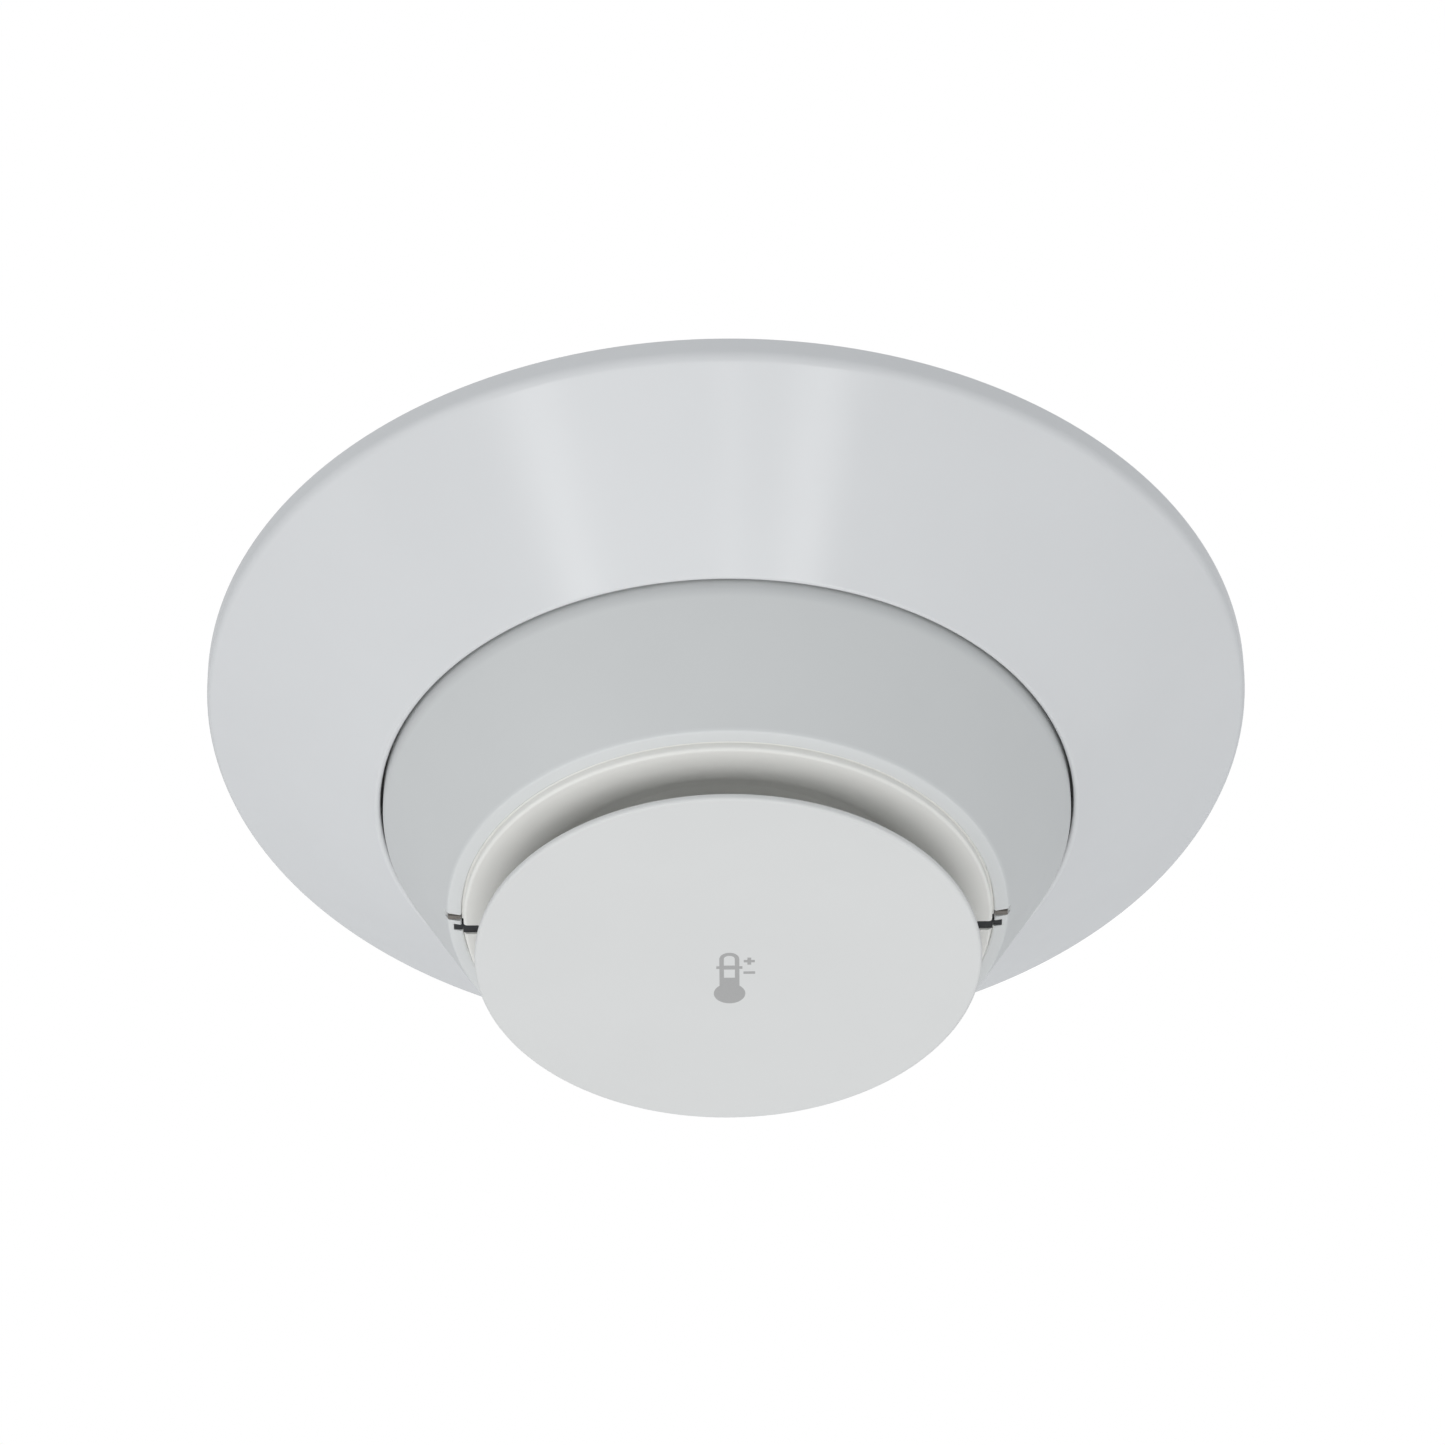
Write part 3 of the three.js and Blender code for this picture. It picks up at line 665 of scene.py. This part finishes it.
def carve_drain(piece):
    """Slot across the inner ring that ends inside the lip, behind a small bridge."""
    step = NOTCH_X[0]
    carve(piece, (DRAIN_X[0], step + 0.1), DRAIN_Y, (SLOT_BOTTOM, SLOT_TOP))
    carve(piece, (step, DRAIN_X[1]), DRAIN_END_Y, (SLOT_BOTTOM, SLOT_TOP))


def front_cover():
    slope = (HEAD_RADIUS - LIP_RADIUS) / (CONE_TOP - LIP_EDGE)
    across = COVER_WALL * math.hypot(1, slope)
    seat = REAR_RIM_END - GAP
    snug = REAR_FLANGE + GAP
    shelf_radius = LIP_RADIUS + slope * (LIP_SHELF - LIP_EDGE) - across
    inside = HEAD_RADIUS - across - 2
    cover = turned(
        "cover_shell",
        [
            (LIP_INNER, LIP_SHELF, 0.1),
            (LIP_INNER, LIP_BOTTOM, 0.3),
            (LIP_RADIUS, LIP_EDGE, 0.5),
            (HEAD_RADIUS, CONE_TOP, 3),
            (HEAD_RADIUS, HEAD_TOP, 0.2),
            (snug, HEAD_TOP, 0.2),
            (snug, seat),
            (inside, seat),
            (inside, seat - 2, 0.5),
            (shelf_radius, LIP_SHELF, 0.3),
        ],
    )
    hooks = bmesh.new()
    hook = ring_sector(snug - 1, snug + 0.5, -5, 5)
    for angle in (0, 90, 180, 270):
        add_prism(hooks, hook, HEAD_TOP - 0.6, HEAD_TOP - 0.05, about_z(angle))
    boolean(cover, hooks, "UNION")
    carve(cover, NOTCH_X, NOTCH_Y, (SLOT_BOTTOM, SLOT_TOP))
    carve(cover, (NOTCH_X[0], LIP_RADIUS + 1), NOTCH_Y, (SLOT_BOTTOM, NOTCH_HEIGHT))
    carve_drain(cover)
    place(cover, "head", "cover_plastic", "front_cover")


def bell_mouth(offset, start, end, steps):
    """Part of the ellipse that carries the chamber's ring up into its throat."""
    rim = CHAMBER_RADIUS - CHAMBER_RIM
    reach = rim - CHAMBER_THROAT + offset
    rise = CHAMBER_FLOOR - CHAMBER_BOTTOM + 1
    base = CHAMBER_BOTTOM + offset
    angles = [start + (end - start) * i / steps for i in range(steps + 1)]
    return [(rim - reach * math.sin(a), base + rise * (1 - math.cos(a))) for a in angles]


def sensing_chamber():
    ledge_bottom = LIP_SHELF + GAP
    groove_end = LIP_BOTTOM + GROOVE_DEPTH
    chamber = turned(
        "chamber_shell",
        [
            (0, CHAMBER_FLOOR),
            (CHAMBER_THROAT - 3, CHAMBER_FLOOR, 0.6),
            *bell_mouth(0, 1.25, 0, 20),
            (CHAMBER_RADIUS, CHAMBER_BOTTOM, 0.5),
            (CHAMBER_RADIUS, groove_end),
            (CHAMBER_RADIUS + GROOVE_STEP, groove_end + 0.2),
            (CHAMBER_RADIUS + GROOVE_STEP, ledge_bottom),
            (CHAMBER_FLANGE, ledge_bottom, 0.2),
            (CHAMBER_FLANGE, CHAMBER_FLANGE_TOP, 0.2),
            (CHAMBER_RADIUS - 1.4, CHAMBER_FLANGE_TOP),
            *bell_mouth(CHAMBER_WALL, 0.15, 1.2, 12),
            (CHAMBER_THROAT - 3, CHAMBER_FLOOR + CHAMBER_WALL),
            (0, CHAMBER_FLOOR + CHAMBER_WALL),
        ],
    )
    holes = bmesh.new()
    for x in (-LEAD_X, LEAD_X):
        add_prism(holes, circle(1.6, x), CHAMBER_FLOOR - 1, CHAMBER_FLOOR + CHAMBER_WALL + 1)
    boolean(chamber, holes, "DIFFERENCE")
    carve_drain(chamber)
    pipe_gap = (NOTCH_Y[0], DRAIN_END_Y[1])
    carve(chamber, (CHAMBER_RADIUS - 0.1, NOTCH_X[1]), pipe_gap, (LIP_SHELF, SLOT_TOP))
    # The chamber wears a lighter, warmer copy of the guard plastic: painted light in its shaded throat.
    place(chamber, "head", "guard_plastic", "sensing_chamber", look="chamber_plastic_painted_light")


def guard_disc():
    face = DISC_FACE + INK_DEPTH
    top = DISC_FACE + DISC_THICKNESS
    disc = turned(
        "disc_plate",
        [(0, face), (DISC_RADIUS, face, DISC_EDGE), (DISC_RADIUS, top, DISC_EDGE), (0, top)],
    )
    inner, outer, half = POST
    post = ring_sector(inner, outer, -half, half)
    posts = bmesh.new()
    for i in range(POST_COUNT):
        add_prism(posts, post, top - 0.5, high_corner("guard_disc").z, about_z(i * 360 / POST_COUNT))
    boolean(disc, posts, "UNION")
    place(disc, "head", "guard_plastic", "guard_disc")


def rear_housing():
    inside = REAR_TOP - REAR_FLOOR
    tray = turned(
        "rear_tray",
        [
            (0, inside),
            (REAR_RADIUS - REAR_WALL, inside, 0.5),
            (REAR_RADIUS - REAR_WALL, REAR_RIM_END, 0.2),
            (REAR_FLANGE, REAR_RIM_END, 0.2),
            (REAR_FLANGE, REAR_RIM_END + 2, 0.2),
            (REAR_RADIUS, REAR_RIM_END + 2, 0.2),
            (REAR_RADIUS, REAR_TOP, 0.8),
            (0, REAR_TOP),
        ],
    )
    added = bmesh.new()
    for angle in BAYONET_ANGLES:
        add_prism(added, ring_sector(*LUG), LUG_BOTTOM, LUG_TOP, about_z(angle))
    pedestal = rectangle((TERMINAL_RADIUS - BLADE_HALF, TERMINAL_RADIUS + BLADE_HALF), (-3.6, 3.2), 0.3)
    for angle in TERMINAL_ANGLES:
        add_prism(added, pedestal, REAR_TOP - 0.5, PEDESTAL_TOP, about_z(angle))
    for angle in BOARD_SCREW_ANGLES:
        add_prism(added, circle(3, BOARD_SCREW_RADIUS), BOARD_TOP + GAP, inside + 0.5, about_z(angle))
    hole, ring = WINDOW
    low, high = REAR_TOP - 0.5, REAR_TOP + WINDOW_RING
    raised = [(hole + 0.2, low), (ring, low), (ring, high, 0.15), (hole + 0.2, high, 0.15)]
    for x in (-DIAL_X, DIAL_X):
        add_turned(added, raised, FINE, 3, (x, 0, 0))
    boolean(tray, added, "UNION")
    cuts = bmesh.new()
    reach = BLADE_HALF + GAP
    slot = rectangle((TERMINAL_RADIUS - reach, TERMINAL_RADIUS + reach), (3.3, 4.7))
    for angle in TERMINAL_ANGLES:
        add_prism(cuts, slot, inside - 1, REAR_TOP + 1, about_z(angle))
    for angle in BOARD_SCREW_ANGLES:
        add_prism(cuts, circle(1.5, BOARD_SCREW_RADIUS), BOARD_TOP - 1, inside - 0.6, about_z(angle))
    for x in (-DIAL_X, DIAL_X):
        add_prism(cuts, circle(hole, x), inside - 1, REAR_TOP + 2)
    boolean(tray, cuts, "DIFFERENCE")
    place(tray, "head", "rear_plastic", "rear_housing")


def contact_blades():
    path = [(-4, -7.7), (4, -7.7, 0.9), (4, BOARD_TOP + GAP)]
    for i, angle in enumerate(TERMINAL_ANGLES):
        low, high = TERMINAL_RADIUS - BLADE_HALF, TERMINAL_RADIUS + BLADE_HALF
        bm = bmesh.new()
        add_prism(bm, bent_strip(path, 0.8, 6), low, high, about_z(angle) @ UPRIGHT_TANGENT)
        blade = soften(to_object(f"blade_{i + 1}", bm), 0.12)
        place(blade, "head", "tinned_brass", f"contact_blade_{i + 1}")


def drain_screens():
    """Near-black sheet just inside each drain slot, painted shade standing in for the dark of the deep slot;
    stepped where it passes the bridge.
    """
    play = 0.05
    across = (DRAIN_Y[0] + play, DRAIN_Y[1] - play)
    past_bridge = (DRAIN_END_Y[0] + play, DRAIN_END_Y[1] - play)
    inner, step, outer = DRAIN_X[0] + play, NOTCH_X[0] - play, DRAIN_X[1] - play
    end_face = LIP_BOTTOM + SHADE_SHEET_DEPTH
    link = ((step - 0.2, step + 0.3), (past_bridge[0], across[1]), end_face + 0.1, LIP_SHELF - 0.1)
    end = ((step + 0.1, outer), past_bridge, end_face, LIP_SHELF)
    for side, name in ((1, "right"), (-1, "left")):
        strip = bmesh.new()
        outline = rectangle(sorted((side * inner, side * step)), across)
        add_prism(strip, outline, CHAMBER_BOTTOM + SHADE_SHEET_DEPTH, LIP_SHELF)
        shade_sheet = to_object(f"drain_screen_{name}", strip)
        for x, y, low, high in (link, end):
            added = bmesh.new()
            add_prism(added, rectangle(sorted(side * value for value in x), y), low, high)
            boolean(shade_sheet, added, "UNION")
        # near-black material: painted shade inside the slot
        place(shade_sheet, "head", "epoxy")


# ---- Thermometer symbol -----------------------------------------------------------------------
SYMBOL_X = 0.15  # middle of the tube
TUBE_END = -2.34  # round end of the tube, along Y
TUBE_HALF = 1.45
TICK = (0.76, 1.36, 0.45)  # from and to along Y, and how far it stands out
BULB_Y = 7.06
BULB_RADIUS = 2.3
CLEAR_HALF = 0.8  # clear areas inside the tube
CLEAR_Y = ((-1.64, 0.61), (1.51, 3.41))
SIGN_X = 3.05
PLUS_Y, MINUS_Y = -0.39, 2.26
SIGN_HALF, SIGN_LINE = 0.8, 0.55
INK_DEPTH = 0.01  # how far the ink stands on the face


def thermometer_outline():
    """Tube with a round end and a tick on each side, running into a round bulb."""
    join = math.degrees(math.asin(TUBE_HALF / BULB_RADIUS))
    steps = 40
    bulb = [turn((0, -BULB_RADIUS), join + (360 - 2 * join) * i / steps) for i in range(steps + 1)]
    cap = [turn((-TUBE_HALF, 0), 180 * i / 16) for i in range(17)]
    low, high, reach = TICK
    left_tick = [(-TUBE_HALF, high), (-TUBE_HALF - reach, high), (-TUBE_HALF - reach, low), (-TUBE_HALF, low)]
    right_tick = [(-x, y) for x, y in reversed(left_tick)]
    outline = [(x, y + BULB_Y) for x, y in bulb] + left_tick
    outline += [(x, y + TUBE_END + TUBE_HALF) for x, y in cap] + right_tick
    return [(x + SYMBOL_X, y) for x, y in outline]


def symbol_outlines():
    """Outlines of the printed areas, and of the clear areas inside them."""
    left, right = SYMBOL_X - CLEAR_HALF, SYMBOL_X + CLEAR_HALF
    (start, end), lower = CLEAR_Y
    round_end = rounded([(left, start, 0.75), (right, start, 0.75), (right, end), (left, end)], 8)
    half, line = SIGN_HALF, SIGN_LINE / 2
    arm = ((line, -line), (half, -line), (half, line))
    plus = [turn(point, 90 * k) for k in range(4) for point in arm]
    return [
        thermometer_outline(),
        round_end,
        rectangle((left, right), lower),
        [(x + SIGN_X, y + PLUS_Y) for x, y in plus],
        rectangle((SIGN_X - half - 0.05, SIGN_X + half + 0.05), (MINUS_Y - line, MINUS_Y + line)),
    ]


def heat_symbol():
    """Pad-printed pictogram on the disc, as a skin of ink."""
    curve = bpy.data.curves.new("heat_symbol", "CURVE")
    curve.dimensions, curve.fill_mode = "2D", "BOTH"
    curve.extrude = INK_DEPTH * MM
    for outline in symbol_outlines():
        spline = curve.splines.new("POLY")
        spline.points.add(len(outline) - 1)
        for point, (x, y) in zip(spline.points, outline):
            point.co = (x * MM, y * MM, 0, 1)
        spline.use_cyclic_u = True
    symbol = from_curve("heat_symbol", curve)
    symbol.data.transform(Matrix.Translation((0, 0, (DISC_FACE + INK_DEPTH) * MM)))
    place(symbol, "head", "symbol_ink")


# ---- Electronics ------------------------------------------------------------------------------
def circuit_board():
    bm = bmesh.new()
    add_prism(bm, circle(BOARD_RADIUS, sides=RING), BOARD_BOTTOM, BOARD_TOP)
    board = to_object("board_plate", bm)
    holes = bmesh.new()
    for angle in BOARD_SCREW_ANGLES:
        add_prism(holes, circle(1.6, BOARD_SCREW_RADIUS), BOARD_BOTTOM - 1, BOARD_TOP + 1, about_z(angle))
    boolean(board, holes, "DIFFERENCE")
    place(board, "head", "board", "circuit_board")


def middle(node):
    low, high = low_corner(node), high_corner(node)
    return (low.x + high.x) / 2, (low.y + high.y) / 2


def thermistors():
    for side in ("left", "right"):
        node = f"thermistor_{side}"
        x, y = middle(node)
        low, high = low_corner(node).z, high_corner(node).z
        bead = turned(f"bead_{side}", [(0, low), (1.2, low, 1.15), (0.75, low + 3.4, 0.6), (0, low + 3.4)],
                      FINE, 8, (x, y, 0))
        leads = bmesh.new()
        for offset in (-0.6, 0.6):
            add_prism(leads, circle(0.3, x, y + offset, 16), low + 2, high)
        boolean(bead, leads, "UNION")
        place(bead, "head", "epoxy", node)


def indicators():
    for side in ("left", "right"):
        led, pipe = f"indicator_led_{side}", f"light_pipe_{side}"
        x, y = middle(led)
        low, high = low_corner(led).z, high_corner(led).z
        lamp = turned(
            f"lamp_{side}",
            [(0, low), (1.5, low, 1.45), (1.5, high - 1), (1.9, high - 1, 0.1), (1.9, high, 0.1), (0, high)],
            FINE, 8, (x, y, 0),
        )
        place(lamp, "head", "led_resin", led)
        light_pipe(side, pipe, x, y)


def light_pipe(side, node, x, y):
    """Round rod that ends in a blade, with a toe that fills the notch out to the lip's edge."""
    half = (NOTCH_Y[1] - NOTCH_Y[0]) / 2 - GAP
    reach = (NOTCH_X[1] - NOTCH_X[0]) / 2 - GAP
    top = high_corner(node).z
    profile = [(0, SLOT_TOP), (1, SLOT_TOP, 0.2), (1, top, 0.15), (0, top)]
    rod = turned(f"pipe_{side}", profile, FINE, 4, (x, y, 0))
    outward = math.copysign(1, x)
    toe = sorted((x - outward * reach, outward * LIP_RADIUS))
    for across, end in (((x - reach, x + reach), SLOT_TOP + 0.5), (toe, NOTCH_HEIGHT - GAP)):
        blade = bmesh.new()
        add_prism(blade, rectangle(across, (y - half, y + half), 0.08), PIPE_TIP, end)
        boolean(rod, blade, "UNION")
    place(rod, "head", "light_pipe", node)


def small_parts():
    """Reed switch, chip, capacitor and surge suppressor under the board."""
    for node, slot, width in (
        ("controller_chip", "epoxy", 0.1),
        ("surge_suppressor", "epoxy", 0.25),
        ("reed_switch", "reed_glass", 0.08),
    ):
        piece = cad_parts[node]
        piece.data.materials.clear()
        piece.data.materials.append(MATERIALS[slot])
        soften(piece, width)
    x, y = middle("filter_capacitor")
    low, high = low_corner("filter_capacitor").z, high_corner("filter_capacitor").z
    can = turned(
        "capacitor_can",
        [(0, low + 0.15), (2.4, low + 0.15, 0.1), (2.6, low, 0.1), (3.1, low, 0.5), (3.1, high - 1.4, 0.3),
         (2.85, high - 1.1, 0.2), (3.1, high - 0.8, 0.3), (3.1, high, 0.2), (0, high)],
        FINE, 4, (x, y, 0),
    )
    place(can, "head", "aluminium_can", "filter_capacitor")


def address_switches():
    for digit in ("tens", "ones"):
        x, y = middle(f"address_dial_{digit}")
        bm = bmesh.new()
        add_prism(bm, rectangle((x - 5, x + 5), (y - 5, y + 5), 0.4), SWITCH_BOTTOM, SWITCH_TOP)
        body = to_object(f"switch_case_{digit}", bm)
        hole = bmesh.new()
        add_prism(hole, circle(DIAL_RADIUS + GAP, x, y), DIAL_BOTTOM - GAP, SWITCH_TOP + 1)
        boolean(body, hole, "DIFFERENCE")
        soften(body, 0.12)
        place(body, "head", "epoxy", f"address_switch_{digit}")

        dial = turned(
            f"dial_{digit}",
            [(0, DIAL_BOTTOM), (DIAL_RADIUS, DIAL_BOTTOM, 0.1), (DIAL_RADIUS, DIAL_TOP, 0.25), (0, DIAL_TOP)],
            FINE * 2, 4, (x, y, 0),
        )
        cuts = bmesh.new()
        add_prism(cuts, rectangle((x - 2.6, x + 2.6), (y - 0.5, y + 0.5), 0.2), DIAL_TOP - 0.9, DIAL_TOP + 1)
        arrow = [(x - 0.7, y + 1.6), (x + 0.7, y + 1.6), (x, y + 3.1)]
        add_prism(cuts, arrow, DIAL_TOP - 0.5, DIAL_TOP + 1)
        boolean(dial, cuts, "DIFFERENCE")
        place(dial, f"{digit}_dial", "dial_plastic", f"address_dial_{digit}")
        dial_digits(digit, x, y)


def dial_digits(name, x, y):
    """Moulded numbers 0 to 9 round the window of one dial."""
    bm = bmesh.new()
    for number in range(10):
        curve = bpy.data.curves.new("digit", "FONT")
        curve.body = str(number)
        curve.size, curve.extrude = 1.7 * MM, 0.12 * MM
        curve.align_x, curve.align_y = "CENTER", "CENTER"
        digit = from_curve("digit", curve)
        dx, dy = turn((0, 6.3), -36 * number)
        digit.data.transform(Matrix.Translation(((x + dx) * MM, (y + dy) * MM, (REAR_TOP + 0.1) * MM)))
        bm.from_mesh(digit.data)
        bpy.data.objects.remove(digit)
    mesh = bpy.data.meshes.new(f"digits_{name}")
    bm.to_mesh(mesh)
    bm.free()
    made = bpy.data.objects.new(f"digits_{name}", mesh)
    bpy.context.scene.collection.objects.link(made)
    place(made, "head", "rear_plastic")


# ---- Studio -----------------------------------------------------------------------------------
CAMERA_DISTANCE = 1.125
CAMERA_BELOW = 40.83  # degrees under the ceiling plane
CAMERA_LENS = 187.7
CAMERA_ROLL = -0.48
CAMERA_TARGET = Vector((-0.00055, 0, -0.0053))
FLOOR_DEPTH = 2.4
FLOOR_RADIUS = 14
# Colour of the world by height: 0 is straight below, 0.5 the horizon and 1 straight above.
WORLD_LIGHT = ((0.0, (0.66, 0.67, 0.68)), (0.5, (0.57, 0.59, 0.61)), (1.0, (0.61, 0.62, 0.63)))


def studio_camera():
    camera = bpy.data.objects.new("camera", bpy.data.cameras.new("camera"))
    bpy.context.scene.collection.objects.link(camera)
    below = math.radians(CAMERA_BELOW)
    outward = Vector((0, -math.cos(below), -math.sin(below)))
    camera.location = CAMERA_TARGET + outward * CAMERA_DISTANCE
    turned_in = (-outward).to_track_quat("-Z", "Y").to_matrix().to_4x4()
    roll = Matrix.Rotation(math.radians(CAMERA_ROLL), 4, "Z")
    camera.rotation_euler = (turned_in @ roll).to_euler()
    camera.data.lens = CAMERA_LENS
    camera.data.clip_end = 60
    bpy.context.scene.camera = camera


def soft_light(name, place_at, aim, size, power, color=(1, 1, 1)):
    """A rectangular softbox that the camera doesn't see."""
    data = bpy.data.lights.new(name, "AREA")
    data.shape, data.size, data.size_y = "RECTANGLE", *size
    data.energy, data.color = power, color
    lamp = bpy.data.objects.new(name, data)
    lamp.location = place_at
    lamp.rotation_euler = (Vector(aim) - Vector(place_at)).to_track_quat("-Z", "Y").to_euler()
    lamp.visible_camera = False
    bpy.context.scene.collection.objects.link(lamp)


def studio_floor():
    bm = bmesh.new()
    add_prism(bm, circle(FLOOR_RADIUS / MM, sides=96), -FLOOR_DEPTH / MM - 20, -FLOOR_DEPTH / MM)
    floor = to_object("floor", bm)
    paint = Shader("floor_paint", (0.92, 0.92, 0.92), 0.7)
    paint.colours(paint.noise(400, 2), (0.3, (0.905, 0.905, 0.905)), (0.7, (0.925, 0.925, 0.925)))
    floor.data.materials.append(paint.material)


def studio_world():
    """White to look at; as a light, brightest from below and cooler towards the horizon."""
    world = bpy.data.worlds.new("studio")
    bpy.context.scene.world = world
    world.use_nodes = True
    nodes, links = world.node_tree.nodes, world.node_tree.links
    nodes.clear()
    direction = nodes.new("ShaderNodeTexCoord")
    split = nodes.new("ShaderNodeSeparateXYZ")
    links.new(direction.outputs["Generated"], split.inputs["Vector"])
    height = nodes.new("ShaderNodeMapRange")
    height.inputs["From Min"].default_value = -1
    links.new(split.outputs["Z"], height.inputs["Value"])
    sky = nodes.new("ShaderNodeValToRGB")
    elements = sky.color_ramp.elements
    elements.new(0.5)
    for element, (position, color) in zip(elements, WORLD_LIGHT):
        element.position, element.color = position, (*color, 1)
    links.new(height.outputs["Result"], sky.inputs["Fac"])
    light = nodes.new("ShaderNodeBackground")
    links.new(sky.outputs["Color"], light.inputs["Color"])
    seen = nodes.new("ShaderNodeBackground")
    seen.inputs["Color"].default_value = (1, 1, 1, 1)
    path = nodes.new("ShaderNodeLightPath")
    mix = nodes.new("ShaderNodeMixShader")
    links.new(path.outputs["Is Camera Ray"], mix.inputs["Fac"])
    links.new(light.outputs["Background"], mix.inputs[1])
    links.new(seen.outputs["Background"], mix.inputs[2])
    output = nodes.new("ShaderNodeOutputWorld")
    links.new(mix.outputs["Shader"], output.inputs["Surface"])


def studio_lights():
    """A broad panel under the detector, with two brighter tubes in it, and a soft key from the left."""
    soft_light("panel_below", (-0.145, -0.15, -1.0), (-0.145, -0.15, 0), (1.06, 1.0), 3.4)
    soft_light("tube_left", (-0.54, -0.3, -0.98), (-0.54, -0.3, 0), (0.13, 0.7), 0.4)
    soft_light("tube_middle", (0.02, -0.3, -0.98), (0.02, -0.3, 0), (0.05, 0.7), 0.14)
    soft_light("tube_right", (0.27, -0.3, -0.98), (0.27, -0.3, 0), (0.13, 0.7), 0.4)
    soft_light("key_left", (-1.6, -1.0, -0.6), (0, 0, -0.03), (1.2, 1.2), 1.9)


def main():
    studio_camera()
    base_body()
    contact_springs()
    terminal_clamps()
    terminal_screws()
    front_cover()
    sensing_chamber()
    drain_screens()
    guard_disc()
    heat_symbol()
    rear_housing()
    contact_blades()
    circuit_board()
    board_screws()
    thermistors()
    indicators()
    small_parts()
    address_switches()
    studio_floor()
    studio_world()
    studio_lights()
    bpy.context.scene.view_settings.view_transform = "Standard"


main()
